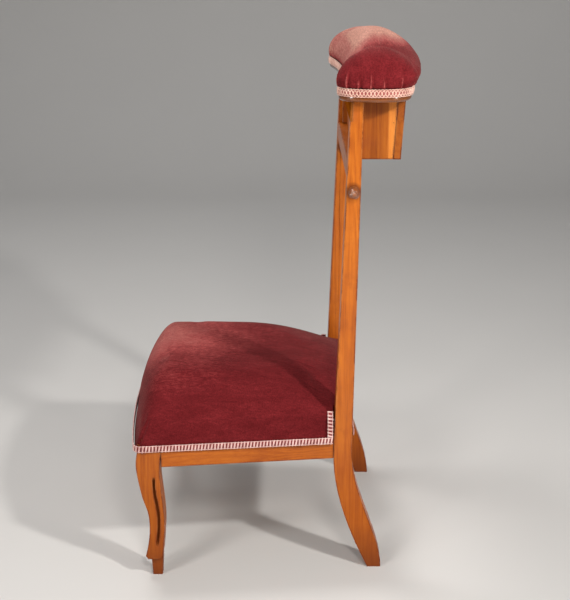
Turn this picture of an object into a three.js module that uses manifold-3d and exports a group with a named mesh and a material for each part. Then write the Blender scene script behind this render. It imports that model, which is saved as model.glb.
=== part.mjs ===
// Kneeling bench (prie-dieu chair): a low upholstered seat to kneel on, two tall raked posts, and a
// padded armrest that is the hinged lid of a shallow book box.
// Millimetres, +Z up. X is the width, the kneeler comes from -Y and faces +Y, and right is +X.
// The origin is on the floor, in the middle of the outer box.
import * as THREE from 'three';
import { mergeVertices } from 'three/addons/utils/BufferGeometryUtils.js';
import Module from 'manifold-3d';

const wasm = await Module();
wasm.setup();

// ---- Driving dimensions ----
const GAP = 0.3; // clearance between pieces that touch
const CURVE_STEPS = 12; // straight steps in each curved stretch of an outline

const POST_OUTER = 200; // outer face of a rear post from the middle plane
const POST_WIDTH = 28;
const POST_TOP = 803.4;
const POST_FRONT_LOW = 105.5; // front edge of a post where the seat meets it
const POST_BACK_LOW = 136;
const POST_STRAIGHT_FROM = 232; // above this height a post is straight, below it curves back
const POST_FRONT_LEAN = 0.0341; // backward lean of the front edge, per unit of height
const POST_BACK_LEAN = 0.0158;
const POST_FOOT_FRONT = 165.6;
const POST_FOOT_BACK = 188.5;

const LEG_OUTER = 235; // outer face of a front leg from the middle plane
const LEG_WIDTH = 35;
const LEG_FRONT = -219.6;
const LEG_BACK = -181;

const RAIL_BOTTOM = 204;
const RAIL_TOP = 258;
const RAIL_THICK = 22;
const RAIL_RECESS = 1.5; // rails stand back this far from the outer faces of the legs
const TENON_BOTTOM = 215;
const TENON_TOP = 248;
const TENON_THICK = 9;
const TENON_LONG = 15;

const WEB_WIDTH = 50;
const WEB_THICK = 2;
const CANVAS_THICK = 1.5;

const COVER_HALF_FRONT = 240.5; // outer face of the seat cover at the front corners
const COVER_HALF_REAR = 203.5; // and beside the rear posts
const COVER_CORNER_Y = -222.6;
const COVER_BOW = 17; // how far the middle of the front stands out from its corners
const COVER_CORNER_RADIUS = 14;
const COVER_REAR = 139;
const COVER_BOTTOM = 232.4;
const SKIRT_THICK = 3.2;
const SEAT_SHOULDER = 284; // height at which the sides of the seat pad turn over
const SEAT_CROWN = 336;

const BRAID_HEIGHT = 13;
const BRAID_THICK = 1.4;
const POST_BRAID_TOP = 292;

const ARM_HALF = 225.4; // half length of the armrest board
const ARM_END_RADIUS = 40;
const ARM_FRONT_MIDDLE = 123.6;
const ARM_REAR_MIDDLE = 233.4;
const ARM_FRONT_BOW = 17; // the hollow of the front edge
const ARM_REAR_BOW = 14;
const ARM_BOARD_BOTTOM = 804;
const ARM_BOARD_TOP = 824;
const ARM_BRAID_BOTTOM = 812;
const ARM_PAD_SWELL = 8.2; // the pad stands this far out over the board
const ARM_CROWN = 897;

const BOX_OUTER = 171.6; // outer faces of the box ends, against the inner faces of the posts
const BOX_END_THICK = 12;
const BOX_BOTTOM = 707;
const BOX_TOP = POST_TOP;
const BOX_END_FRONT = 129;
const BOX_FRONT_PANEL_Y = 137;
const BOX_PANEL_THICK = 8;
const BOX_BACK_THICK = 12;
const BOX_BACK_TOP_Y = 212; // outer face of the rear panel at its top edge
const BOX_BACK_LEAN = 0.0586; // the rear panel leans back by this much per unit of height

const BACK_RAIL_BOTTOM = 675;
const BACK_RAIL_TOP = 706.5;
const BACK_RAIL_THICK = 18;
const APRON_HEIGHT = 31;
const APRON_THICK = 3;

const KNOB_HEIGHT = 662;
const KNOB_RADIUS = 8.6;
const KNOB_LONG = 26; // how far a knob stands out from its post
const KNOB_SHANK_RADIUS = 4;
const KNOB_SHANK_LONG = 16;

const HINGE_X = 110; // middle of each hinge from the middle plane
const HINGE_LONG = 50;
const HINGE_RADIUS = 3;
const HINGE_PIN_RADIUS = 1.2;
const HINGE_Y = BOX_BACK_TOP_Y + 3.6;
const HINGE_Z = 803.2;
const LEAF_THICK = 1.2;
const LEAF_REACH = 14.5; // from the hinge axis to the free edge of a leaf
const SCREW_HEAD_RADIUS = 2.6;
const SCREW_SHANK_RADIUS = 1.2;
const SCREW_LONG = 11;
const SCREW_SPREAD = 15;
const SCREW_FROM_AXIS = 9.6;

// ---- Finishes ----
const finish = (colour, roughness, metalness = 0) => ({ color: colour, roughness, metalness });
const CHERRY = finish(0xb0621f, 0.42);
const CHERRY_DARK = finish(0x93501c, 0.5);
const VELVET = finish(0x8e2f3a, 0.95);
const BRAID = finish(0xd9a79a, 0.9);
const JUTE = finish(0x9a8058, 0.95);
const CANVAS = finish(0xb7a98c, 0.95);
const BRASS = finish(0xa8853f, 0.35, 0.9);
const STEEL = finish(0x8f8a80, 0.4, 0.9);

// ---- Helpers ----
const bench = new THREE.Group();
bench.name = 'kneeling_bench';

function solid(geometry) {
  const bare = geometry.clone();
  bare.deleteAttribute('normal');
  bare.deleteAttribute('uv');
  const merged = mergeVertices(bare, 1e-4);
  const mesh = new wasm.Mesh({
    numProp: 3,
    vertProperties: new Float32Array(merged.attributes.position.array),
    triVerts: new Uint32Array(merged.index.array),
  });
  return new wasm.Manifold(mesh);
}

function geometryOf(body) {
  const mesh = body.getMesh();
  const geometry = new THREE.BufferGeometry();
  geometry.setAttribute('position', new THREE.BufferAttribute(mesh.vertProperties, 3));
  geometry.setIndex(new THREE.BufferAttribute(mesh.triVerts, 1));
  geometry.computeVertexNormals();
  return geometry;
}

function addPiece(name, geometry, look, place = [0, 0, 0]) {
  const mesh = new THREE.Mesh(geometry, new THREE.MeshStandardMaterial(look));
  mesh.name = name;
  mesh.position.set(...place);
  bench.add(mesh);
}

const addSolid = (name, body, look) => addPiece(name, geometryOf(body), look);

function block(low, high) {
  const size = high.map((value, axis) => value - low[axis]);
  const middle = high.map((value, axis) => (value + low[axis]) / 2);
  return new THREE.BoxGeometry(...size).translate(...middle);
}

// A box widened by the clearance on every side, for cutting the seat of another piece.
function clearBlock(low, high) {
  return block(low.map((value) => value - GAP), high.map((value) => value + GAP));
}

function cut(body, ...tools) {
  return tools.reduce((rest, tool) => rest.subtract(solid(tool)), body);
}

function join(body, ...tools) {
  return tools.reduce((rest, tool) => rest.add(solid(tool)), body);
}

// A plan outline raised from one height to another.
function raise(outline, bottom, top) {
  const options = { depth: top - bottom, bevelEnabled: false, curveSegments: CURVE_STEPS };
  return new THREE.ExtrudeGeometry(outline, options).translate(0, 0, bottom);
}

// An outline drawn as (Y, Z) and run along X from one place to another.
function runAlongX(outline, from, to) {
  const options = { depth: to - from, bevelEnabled: false, curveSegments: CURVE_STEPS };
  const turn = new THREE.Matrix4().makeBasis(
    new THREE.Vector3(0, 1, 0), new THREE.Vector3(0, 0, 1), new THREE.Vector3(1, 0, 0));
  return new THREE.ExtrudeGeometry(outline, options).applyMatrix4(turn).translate(from, 0, 0);
}

// An outline drawn as (X, Z) and run along Y.
function runAlongY(outline, from, to) {
  const options = { depth: to - from, bevelEnabled: false, curveSegments: CURVE_STEPS };
  return new THREE.ExtrudeGeometry(outline, options).rotateX(Math.PI / 2).translate(0, to, 0);
}

function polygon(points) {
  return new THREE.Shape(points.map(([across, up]) => new THREE.Vector2(across, up)));
}

function rod(radius, from, to, axis, centre, sides = 20) {
  const geometry = new THREE.CylinderGeometry(radius, radius, to - from, sides);
  const middle = (from + to) / 2;
  if (axis === 'x') {
    return geometry.rotateZ(Math.PI / 2).translate(middle, centre[0], centre[1]);
  }
  return geometry.rotateX(Math.PI / 2).translate(centre[0], centre[1], middle);
}

const SIDES = [['left', -1], ['right', 1]];
const ascending = (first, second) => first - second;

// Low and high corners of a box that lies between two distances from the middle plane, on one side.
function sideBox(side, inner, outer, low, high) {
  const near = Math.min(side * inner, side * outer);
  const far = Math.max(side * inner, side * outer);
  return [[near, ...low], [far, ...high]];
}

// Everything under the cover: the show wood below it, and above that the rebate it is tacked into,
// whose upper edge is eased in steps so that the cover can lean inwards over it.
const REBATE_STEPS = [
  { bottom: COVER_BOTTOM - GAP - 1, top: 244, inset: 0 },
  { bottom: 243, top: 252, inset: 4 },
  { bottom: 251, top: RAIL_TOP + 1, inset: 8 },
];
let underCover = solid(block([-300, -300, -1], [300, 300, COVER_BOTTOM - GAP]));
for (const { bottom, top, inset } of REBATE_STEPS) {
  const plan = seatPlan(-SKIRT_THICK - GAP - inset, COVER_REAR);
  underCover = underCover.add(solid(raise(plan, bottom, top)));
}

const postFront = (height) => POST_FRONT_LOW + POST_FRONT_LEAN * (height - POST_STRAIGHT_FROM);
const postBack = (height) => POST_BACK_LOW + POST_BACK_LEAN * (height - POST_STRAIGHT_FROM);
const boxBackOuter = (height) => BOX_BACK_TOP_Y - BOX_BACK_LEAN * (BOX_TOP - height);
const POST_INNER = POST_OUTER - POST_WIDTH;
const LEG_INNER = LEG_OUTER - LEG_WIDTH;

// ---- Joints of the seat frame: where each tenon lies ----
const sideRailOuterAt = (y) => {
  const along = (y - LEG_BACK) / (POST_FRONT_LOW - LEG_BACK);
  return THREE.MathUtils.lerp(LEG_OUTER, POST_OUTER, along) - RAIL_RECESS;
};

function sideRailTenons(side) {
  const frontMiddle = sideRailOuterAt(LEG_BACK) - RAIL_THICK / 2;
  const rearMiddle = sideRailOuterAt(POST_FRONT_LOW) - RAIL_THICK / 2;
  const half = TENON_THICK / 2;
  const inset = 4;
  return {
    front: sideBox(side, frontMiddle - half, frontMiddle + half,
      [LEG_BACK - TENON_LONG, TENON_BOTTOM], [LEG_BACK + inset, TENON_TOP]),
    rear: sideBox(side, rearMiddle - half, rearMiddle + half,
      [POST_FRONT_LOW - inset, TENON_BOTTOM], [POST_FRONT_LOW + TENON_LONG, TENON_TOP]),
  };
}

function crossTenon(side, inner, yMiddle, thick, bottom, top) {
  const inset = 4;
  return sideBox(side, inner - inset, inner + TENON_LONG - 2,
    [yMiddle - thick / 2, bottom], [yMiddle + thick / 2, top]);
}

const frontTenon = (side) => crossTenon(side, LEG_INNER, LEG_FRONT + 14, 8, TENON_BOTTOM, TENON_TOP);
const rearTenon = (side) => crossTenon(side, POST_INNER, 129, 7, TENON_BOTTOM, TENON_TOP);
const backRailTenon = (side) => crossTenon(side, POST_INNER, 131, 7, 681, 700.5);

// ---- Rear posts ----
function postOutline() {
  const outline = new THREE.Shape();
  const rebate = BOX_TOP - APRON_HEIGHT - GAP;
  outline.moveTo(POST_FOOT_FRONT, 0);
  outline.lineTo(POST_FOOT_BACK, 0);
  outline.bezierCurveTo(POST_FOOT_BACK + 1.5, 55, POST_BACK_LOW - 0.5, 140, POST_BACK_LOW, 215);
  outline.lineTo(POST_BACK_LOW, POST_STRAIGHT_FROM);
  outline.lineTo(postBack(POST_TOP), POST_TOP);
  outline.lineTo(postFront(POST_TOP) + APRON_THICK + GAP, POST_TOP);
  outline.lineTo(postFront(rebate) + APRON_THICK + GAP, rebate);
  outline.lineTo(postFront(rebate), rebate);
  outline.lineTo(POST_FRONT_LOW, POST_STRAIGHT_FROM);
  outline.lineTo(POST_FRONT_LOW, 205);
  outline.bezierCurveTo(POST_FRONT_LOW, 120, POST_FOOT_FRONT - 11.6, 25, POST_FOOT_FRONT, 0);
  return outline;
}

const knobY = (postFront(KNOB_HEIGHT) + postBack(KNOB_HEIGHT)) / 2;

for (const [name, side] of SIDES) {
  const inner = Math.min(side * POST_INNER, side * POST_OUTER);
  const outer = Math.max(side * POST_INNER, side * POST_OUTER);
  const boreEnds = [side * (POST_OUTER - KNOB_SHANK_LONG - GAP), side * (POST_OUTER + 1)].sort(ascending);
  const bore = rod(KNOB_SHANK_RADIUS + GAP, ...boreEnds, 'x', [knobY, KNOB_HEIGHT]);
  const post = cut(
    solid(runAlongX(postOutline(), inner, outer)),
    clearBlock(...sideRailTenons(side).rear),
    clearBlock(...rearTenon(side)),
    clearBlock(...backRailTenon(side)),
    bore,
  );
  addSolid(`${name}_rear_post`, post, CHERRY);
}

// ---- Front legs: sawn cabriole legs with a carved scroll groove and a small tapered toe ----
const LEG_COLLAR = 40; // height of the collar above the toe

function legOutline() {
  const frontEdge = [[LEG_FRONT, 232], [-222.3, 203], [-214.2, 153], [-204.8, 120],
    [-203, 90], [-206.6, 58], [-211, LEG_COLLAR]];
  const backEdge = [[-182, LEG_COLLAR + 2], [-178, 90], [-178.4, 125], [-183.4, 186], [LEG_BACK, 228]];
  const vectors = (points) => points.map(([y, z]) => new THREE.Vector2(y, z));
  const outline = new THREE.Shape();
  outline.moveTo(LEG_FRONT, RAIL_TOP);
  outline.lineTo(...frontEdge[0]);
  outline.splineThru(vectors(frontEdge.slice(1)));
  outline.lineTo(-207.4, LEG_COLLAR - 6);
  outline.lineTo(-186, LEG_COLLAR - 6);
  outline.lineTo(...backEdge[0]);
  outline.splineThru(vectors(backEdge.slice(1)));
  outline.lineTo(LEG_BACK, RAIL_TOP);
  return outline;
}

// The toe under the collar: a square peg that tapers to the floor and leans with the leg.
function toe(side) {
  const topHalf = 10;
  const bottomHalf = 8;
  const height = LEG_COLLAR;
  const geometry = new THREE.CylinderGeometry(topHalf * Math.SQRT2, bottomHalf * Math.SQRT2, height, 4);
  geometry.rotateY(Math.PI / 4).rotateX(Math.PI / 2);
  return geometry.translate(side * (LEG_OUTER - LEG_WIDTH / 2), -192.6, height / 2);
}

// A gouge that follows the curve of the leg on its outer face and runs out at both ends.
function scrollGroove(side) {
  const width = 2.4;
  const face = side * (LEG_OUTER - 0.4);
  const clear = side * (LEG_OUTER + width + 1);
  const route = [[clear, -193, 188], [face, -193.6, 179], [face, -193, 160], [face, -190, 139],
    [face, -187.2, 115], [face, -187.6, 92], [face, -190.2, 68], [clear, -192, 56]];
  const path = new THREE.CatmullRomCurve3(route.map((point) => new THREE.Vector3(...point)));
  const section = new THREE.Shape();
  section.absellipse(0, 0, width, width, 0, Math.PI * 2);
  const options = { steps: 28, bevelEnabled: false, extrudePath: path, curveSegments: 5 };
  return new THREE.ExtrudeGeometry(section, options);
}

for (const [name, side] of SIDES) {
  const inner = Math.min(side * LEG_INNER, side * LEG_OUTER);
  const outer = Math.max(side * LEG_INNER, side * LEG_OUTER);
  const blank = join(solid(runAlongX(legOutline(), inner, outer)), toe(side));
  const leg = cut(
    blank,
    scrollGroove(side),
    clearBlock(...sideRailTenons(side).front),
    clearBlock(...frontTenon(side)),
  );
  addSolid(`${name}_front_leg`, leg.intersect(underCover), CHERRY);
}

// ---- Seat rails ----
function sideRail(side) {
  const front = LEG_BACK + GAP;
  const rear = POST_FRONT_LOW - GAP;
  const plan = polygon([
    [side * sideRailOuterAt(front), front],
    [side * sideRailOuterAt(rear), rear],
    [side * (sideRailOuterAt(rear) - RAIL_THICK), rear],
    [side * (sideRailOuterAt(front) - RAIL_THICK), front],
  ]);
  const { front: frontBox, rear: rearBox } = sideRailTenons(side);
  return join(solid(raise(plan, RAIL_BOTTOM, RAIL_TOP)), block(...frontBox), block(...rearBox));
}

for (const [name, side] of SIDES) {
  addSolid(`seat_${name}_rail`, sideRail(side).intersect(underCover), CHERRY);
}

function frontRail() {
  const end = LEG_INNER - GAP;
  const face = LEG_FRONT + RAIL_RECESS;
  const plan = new THREE.Shape();
  plan.moveTo(-end, face);
  plan.quadraticCurveTo(0, face - 2 * COVER_BOW, end, face);
  plan.lineTo(end, face + RAIL_THICK);
  plan.quadraticCurveTo(0, face + RAIL_THICK - 2 * COVER_BOW, -end, face + RAIL_THICK);
  return join(solid(raise(plan, RAIL_BOTTOM, RAIL_TOP)), block(...frontTenon(-1)), block(...frontTenon(1)));
}
addSolid('seat_front_rail', frontRail().intersect(underCover), CHERRY);

const REAR_RAIL_BACK = COVER_REAR - SKIRT_THICK - GAP;
const rearRailBody = block(
  [-POST_INNER + GAP, REAR_RAIL_BACK - RAIL_THICK, RAIL_BOTTOM],
  [POST_INNER - GAP, REAR_RAIL_BACK, RAIL_TOP],
);
addSolid('seat_rear_rail', join(solid(rearRailBody), block(...rearTenon(-1)), block(...rearTenon(1))), CHERRY);

// ---- Glue blocks in the corners of the seat frame ----
const BLOCK_REACH = 34;
const BLOCK_BOTTOM = 212;
const BLOCK_TOP = 250;
for (const [name, side] of SIDES) {
  const frontY = LEG_BACK + GAP;
  const frontX = sideRailOuterAt(frontY + BLOCK_REACH) - RAIL_THICK - 1;
  const front = polygon([
    [side * frontX, frontY],
    [side * frontX, frontY + BLOCK_REACH],
    [side * (frontX - BLOCK_REACH), frontY],
  ]);
  addPiece(`${name}_front_corner_block`, geometryOf(solid(raise(front, BLOCK_BOTTOM, BLOCK_TOP))), CHERRY_DARK);
  const rearY = REAR_RAIL_BACK - RAIL_THICK - GAP;
  const rearX = POST_INNER - GAP;
  const rear = polygon([
    [side * rearX, rearY],
    [side * (rearX - BLOCK_REACH), rearY],
    [side * rearX, rearY - BLOCK_REACH],
  ]);
  addPiece(`${name}_rear_corner_block`, geometryOf(solid(raise(rear, BLOCK_BOTTOM, BLOCK_TOP))), CHERRY_DARK);
}

// ---- Webbing and canvas that carry the seat pad ----
const LONG_WEB_BOTTOM = RAIL_TOP + GAP;
const CROSS_WEB_BOTTOM = LONG_WEB_BOTTOM + WEB_THICK + GAP;
const CANVAS_BOTTOM = CROSS_WEB_BOTTOM + WEB_THICK + GAP;
const PAD_BOTTOM = CANVAS_BOTTOM + CANVAS_THICK + GAP;
const WEB_FRONT = -222;
const WEB_REAR = REAR_RAIL_BACK - 4;

[-105, 0, 105].forEach((x, index) => {
  const strap = new THREE.BoxGeometry(WEB_WIDTH, WEB_REAR - WEB_FRONT, WEB_THICK);
  const place = [x, (WEB_REAR + WEB_FRONT) / 2, LONG_WEB_BOTTOM + WEB_THICK / 2];
  addPiece(`webbing_long_${index + 1}`, strap, JUTE, place);
});

[-140, -60, 20].forEach((y, index) => {
  const reach = sideRailOuterAt(y + WEB_WIDTH / 2) - 6;
  const strap = new THREE.BoxGeometry(2 * reach, WEB_WIDTH, WEB_THICK);
  addPiece(`webbing_cross_${index + 1}`, strap, JUTE, [0, y, CROSS_WEB_BOTTOM + WEB_THICK / 2]);
});

// ---- Seat cover: plan of its outer face, grown or shrunk by a distance ----
function seatPlan(grow, rearY) {
  const halfFront = COVER_HALF_FRONT + grow;
  const cornerY = COVER_CORNER_Y - grow;
  const slope = (COVER_HALF_FRONT - COVER_HALF_REAR) / (POST_FRONT_LOW - COVER_CORNER_Y);
  const halfRear = COVER_HALF_REAR + grow - slope * (rearY - POST_FRONT_LOW);
  const turn = COVER_CORNER_RADIUS;
  const plan = new THREE.Shape();
  plan.moveTo(-halfRear, rearY);
  plan.lineTo(-halfFront + slope * turn, cornerY + turn);
  plan.quadraticCurveTo(-halfFront, cornerY, -halfFront + turn, cornerY - 2);
  plan.quadraticCurveTo(0, cornerY - 2 * COVER_BOW + 2, halfFront - turn, cornerY - 2);
  plan.quadraticCurveTo(halfFront, cornerY, halfFront - slope * turn, cornerY + turn);
  plan.lineTo(halfRear, rearY);
  return plan;
}

// A band that follows the front and both sides of the seat, open at the rear.
function seatBand(outerGrow, thick, bottom, top, rearY) {
  const outside = solid(raise(seatPlan(outerGrow, rearY), bottom, top));
  const inside = raise(seatPlan(outerGrow - thick, rearY + 1), bottom - 1, top + 1);
  return cut(outside, inside);
}

// The posts pass up through the rear corners of the canvas and the pad.
function postClearance(side) {
  const room = 1;
  return block(...sideBox(side, POST_INNER - room, COVER_HALF_REAR + 20,
    [POST_FRONT_LOW - room, RAIL_BOTTOM], [COVER_REAR + 20, SEAT_CROWN + 20]));
}

const canvasBlank = raise(seatPlan(-14, WEB_REAR), CANVAS_BOTTOM, CANVAS_BOTTOM + CANVAS_THICK);
addSolid('seat_canvas', cut(solid(canvasBlank), postClearance(-1), postClearance(1)), CANVAS);

function seatPad() {
  const plan = raise(seatPlan(0, COVER_REAR), PAD_BOTTOM, SEAT_CROWN + 1);
  const lengthways = new THREE.Shape();
  lengthways.moveTo(COVER_CORNER_Y - COVER_BOW - 5, PAD_BOTTOM - 1);
  lengthways.lineTo(COVER_CORNER_Y - COVER_BOW - 5, SEAT_SHOULDER - 8);
  lengthways.bezierCurveTo(-232, 320, -160, SEAT_CROWN, -70, SEAT_CROWN);
  lengthways.bezierCurveTo(30, SEAT_CROWN, 100, 326, COVER_REAR + 5, 300);
  lengthways.lineTo(COVER_REAR + 5, PAD_BOTTOM - 1);
  const widthways = new THREE.Shape();
  const edge = COVER_HALF_FRONT + 5;
  widthways.moveTo(-edge, PAD_BOTTOM - 1);
  widthways.lineTo(-edge, SEAT_SHOULDER - 4);
  widthways.bezierCurveTo(-225, 318, -130, SEAT_CROWN, 0, SEAT_CROWN);
  widthways.bezierCurveTo(130, SEAT_CROWN, 225, 318, edge, SEAT_SHOULDER - 4);
  widthways.lineTo(edge, PAD_BOTTOM - 1);
  const domed = solid(plan)
    .intersect(solid(runAlongX(lengthways, -edge, edge)))
    .intersect(solid(runAlongY(widthways, -260, 160)));
  return cut(domed, postClearance(-1), postClearance(1));
}
addSolid('seat_pad', seatPad(), VELVET);

const SKIRT_TOP = PAD_BOTTOM - GAP;
const SEAT_BAND_REAR = POST_FRONT_LOW - 1;
addSolid('seat_cover_skirt', seatBand(0, SKIRT_THICK, COVER_BOTTOM, SKIRT_TOP, SEAT_BAND_REAR), VELVET);
const rearBandHalf = POST_INNER - 1;
addPiece('seat_cover_rear_skirt', block(
  [-rearBandHalf, COVER_REAR - SKIRT_THICK, COVER_BOTTOM], [rearBandHalf, COVER_REAR, SKIRT_TOP]), VELVET);

// ---- Braid round the seat cover ----
const BRAID_GROW = BRAID_THICK + GAP;
addSolid('seat_braid',
  seatBand(BRAID_GROW, BRAID_THICK, COVER_BOTTOM, COVER_BOTTOM + BRAID_HEIGHT, SEAT_BAND_REAR), BRAID);
addPiece('seat_rear_braid', block(
  [-rearBandHalf, COVER_REAR + GAP, COVER_BOTTOM],
  [rearBandHalf, COVER_REAR + BRAID_GROW, COVER_BOTTOM + BRAID_HEIGHT]), BRAID);

for (const [name, side] of SIDES) {
  const bottom = COVER_BOTTOM + BRAID_HEIGHT + GAP;
  const upright = block(...sideBox(side, COVER_HALF_REAR + 1.6, COVER_HALF_REAR + 1.6 + BRAID_THICK,
    [SEAT_BAND_REAR - 11, bottom], [SEAT_BAND_REAR, POST_BRAID_TOP]));
  addPiece(`${name}_post_braid`, upright, BRAID);
}

// ---- Back rail, apron and knobs ----
const backRailFront = postFront(BACK_RAIL_TOP);
const backRailBody = block(
  [-POST_INNER + GAP, backRailFront, BACK_RAIL_BOTTOM],
  [POST_INNER - GAP, backRailFront + BACK_RAIL_THICK, BACK_RAIL_TOP],
);
addSolid('back_rail',
  join(solid(backRailBody), block(...backRailTenon(-1)), block(...backRailTenon(1))), CHERRY);

const apronBottom = BOX_TOP - APRON_HEIGHT;
const apronOutline = polygon([
  [postFront(apronBottom), apronBottom],
  [postFront(apronBottom) + APRON_THICK, apronBottom],
  [postFront(BOX_TOP) + APRON_THICK, BOX_TOP],
  [postFront(BOX_TOP), BOX_TOP],
]);
addPiece('armrest_apron', runAlongX(apronOutline, -POST_OUTER, POST_OUTER), CHERRY);

function knob() {
  const profile = [[0, -KNOB_SHANK_LONG], [KNOB_SHANK_RADIUS, -KNOB_SHANK_LONG], [KNOB_SHANK_RADIUS, GAP],
    [8.2, GAP], [8.6, 1.2], [8.3, 3.2], [6.3, 4.8], [5.2, 8.4],
  ].map(([radius, out]) => new THREE.Vector2(radius, out));
  const domeSteps = 9;
  const domeReach = 8;
  const domeMiddle = KNOB_LONG - domeReach;
  const domeStart = -0.9;
  for (let step = 0; step <= domeSteps; step += 1) {
    const angle = domeStart + (Math.PI / 2 - domeStart) * (step / domeSteps);
    const radius = step === domeSteps ? 0 : KNOB_RADIUS * Math.cos(angle);
    profile.push(new THREE.Vector2(radius, domeMiddle + domeReach * Math.sin(angle)));
  }
  return new THREE.LatheGeometry(profile, 20);
}

for (const [name, side] of SIDES) {
  const turned = knob().rotateZ(-side * Math.PI / 2);
  addPiece(`${name}_knob`, turned, CHERRY_DARK, [side * POST_OUTER, knobY, KNOB_HEIGHT]);
}

// ---- Book box ----
const boxBackInner = (height) => boxBackOuter(height) - BOX_BACK_THICK;

const endOutline = polygon([
  [BOX_END_FRONT, BOX_BOTTOM],
  [boxBackInner(BOX_BOTTOM) - GAP, BOX_BOTTOM],
  [boxBackInner(BOX_TOP) - GAP, BOX_TOP],
  [BOX_END_FRONT, BOX_TOP],
]);
for (const [name, side] of SIDES) {
  const faces = [side * BOX_OUTER, side * (BOX_OUTER - BOX_END_THICK)].sort(ascending);
  addPiece(`box_${name}_end`, runAlongX(endOutline, ...faces), CHERRY);
}

const insideHalf = BOX_OUTER - BOX_END_THICK - GAP;
addPiece('box_front_panel', block(
  [-insideHalf, BOX_FRONT_PANEL_Y, BOX_BOTTOM],
  [insideHalf, BOX_FRONT_PANEL_Y + BOX_PANEL_THICK, BOX_TOP]), CHERRY);

const floorFront = BOX_FRONT_PANEL_Y + BOX_PANEL_THICK + GAP;
const floorTop = BOX_BOTTOM + BOX_PANEL_THICK;
const floorOutline = polygon([
  [floorFront, BOX_BOTTOM],
  [boxBackInner(BOX_BOTTOM) - GAP, BOX_BOTTOM],
  [boxBackInner(floorTop) - GAP, floorTop],
  [floorFront, floorTop],
]);
addPiece('box_floor', runAlongX(floorOutline, -insideHalf, insideHalf), CHERRY_DARK);

// ---- Hinges: places shared by the leaves, the pins, the screws and the wood they are let into ----
const HINGE_MIDDLES = [['left', -HINGE_X], ['right', HINGE_X]];
const fixedLeafTop = HINGE_Z - 0.2;
const lidLeafBottom = HINGE_Z + 0.2;
const screwPlaces = (middle) => [-SCREW_SPREAD, SCREW_SPREAD].map((offset) => middle + offset);
const screwY = HINGE_Y - SCREW_FROM_AXIS;

function leafSlot(middle, bottom, top) {
  return block(
    [middle - HINGE_LONG / 2 - 1, HINGE_Y - LEAF_REACH - 1, bottom],
    [middle + HINGE_LONG / 2 + 1, HINGE_Y + HINGE_RADIUS + 1, top]);
}

function knuckleSlot(middle) {
  return rod(HINGE_RADIUS + 0.7, middle - HINGE_LONG / 2 - 1, middle + HINGE_LONG / 2 + 1,
    'x', [HINGE_Y, HINGE_Z]);
}

const rearPanelOutline = polygon([
  [boxBackInner(BOX_BOTTOM), BOX_BOTTOM],
  [boxBackOuter(BOX_BOTTOM), BOX_BOTTOM],
  [boxBackOuter(BOX_TOP), BOX_TOP],
  [boxBackInner(BOX_TOP), BOX_TOP],
]);
let rearPanel = solid(runAlongX(rearPanelOutline, -BOX_OUTER, BOX_OUTER));
for (const [, middle] of HINGE_MIDDLES) {
  const slotFloor = fixedLeafTop - LEAF_THICK - GAP;
  rearPanel = cut(rearPanel, leafSlot(middle, slotFloor, BOX_TOP + 5), knuckleSlot(middle));
  for (const x of screwPlaces(middle)) {
    rearPanel = cut(rearPanel, rod(SCREW_SHANK_RADIUS + GAP, fixedLeafTop - SCREW_LONG - 1, BOX_TOP + 1,
      'z', [x, screwY], 12));
  }
}
addSolid('box_rear_panel', rearPanel, CHERRY);

// ---- Armrest: a kidney-shaped board, its pad and its braid ----
function armPlan(grow) {
  const straight = ARM_HALF - ARM_END_RADIUS;
  const tip = ARM_HALF + grow;
  const frontMiddle = ARM_FRONT_MIDDLE - grow;
  const rearMiddle = ARM_REAR_MIDDLE + grow;
  const frontEnd = frontMiddle - ARM_FRONT_BOW;
  const rearEnd = rearMiddle - ARM_REAR_BOW;
  const tipY = (frontEnd + rearEnd) / 2;
  const reach = 0.64 * (tip - straight);
  const rise = 0.64 * (tipY - frontEnd);
  const frontSlope = (2 * ARM_FRONT_BOW * reach) / straight;
  const rearSlope = (2 * ARM_REAR_BOW * reach) / straight;
  const plan = new THREE.Shape();
  plan.moveTo(-straight, frontEnd);
  plan.quadraticCurveTo(0, frontEnd + 2 * ARM_FRONT_BOW, straight, frontEnd);
  plan.bezierCurveTo(straight + reach, frontEnd - frontSlope, tip, tipY - rise, tip, tipY);
  plan.bezierCurveTo(tip, tipY + rise, straight + reach, rearEnd - rearSlope, straight, rearEnd);
  plan.quadraticCurveTo(0, rearEnd + 2 * ARM_REAR_BOW, -straight, rearEnd);
  plan.bezierCurveTo(-straight - reach, rearEnd - rearSlope, -tip, tipY + rise, -tip, tipY);
  plan.bezierCurveTo(-tip, tipY - rise, -straight - reach, frontEnd - frontSlope, -straight, frontEnd);
  return plan;
}

const BOARD_EDGE_ROUND = 5;
const boardBlank = new THREE.ExtrudeGeometry(armPlan(0), {
  depth: ARM_BOARD_TOP - ARM_BOARD_BOTTOM - 2 * BOARD_EDGE_ROUND,
  bevelEnabled: true,
  bevelThickness: BOARD_EDGE_ROUND,
  bevelSize: BOARD_EDGE_ROUND,
  bevelOffset: -BOARD_EDGE_ROUND,
  bevelSegments: 3,
  curveSegments: CURVE_STEPS,
}).translate(0, 0, ARM_BOARD_BOTTOM + BOARD_EDGE_ROUND);

let armBoard = solid(boardBlank);
for (const [, middle] of HINGE_MIDDLES) {
  const slotRoof = lidLeafBottom + LEAF_THICK + GAP;
  armBoard = cut(armBoard, leafSlot(middle, ARM_BOARD_BOTTOM - 5, slotRoof), knuckleSlot(middle));
  for (const x of screwPlaces(middle)) {
    armBoard = cut(armBoard, rod(SCREW_SHANK_RADIUS + GAP, ARM_BOARD_BOTTOM - 1,
      lidLeafBottom + SCREW_LONG + 1, 'z', [x, screwY], 12));
  }
}
addSolid('armrest_board', armBoard, CHERRY);

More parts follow.
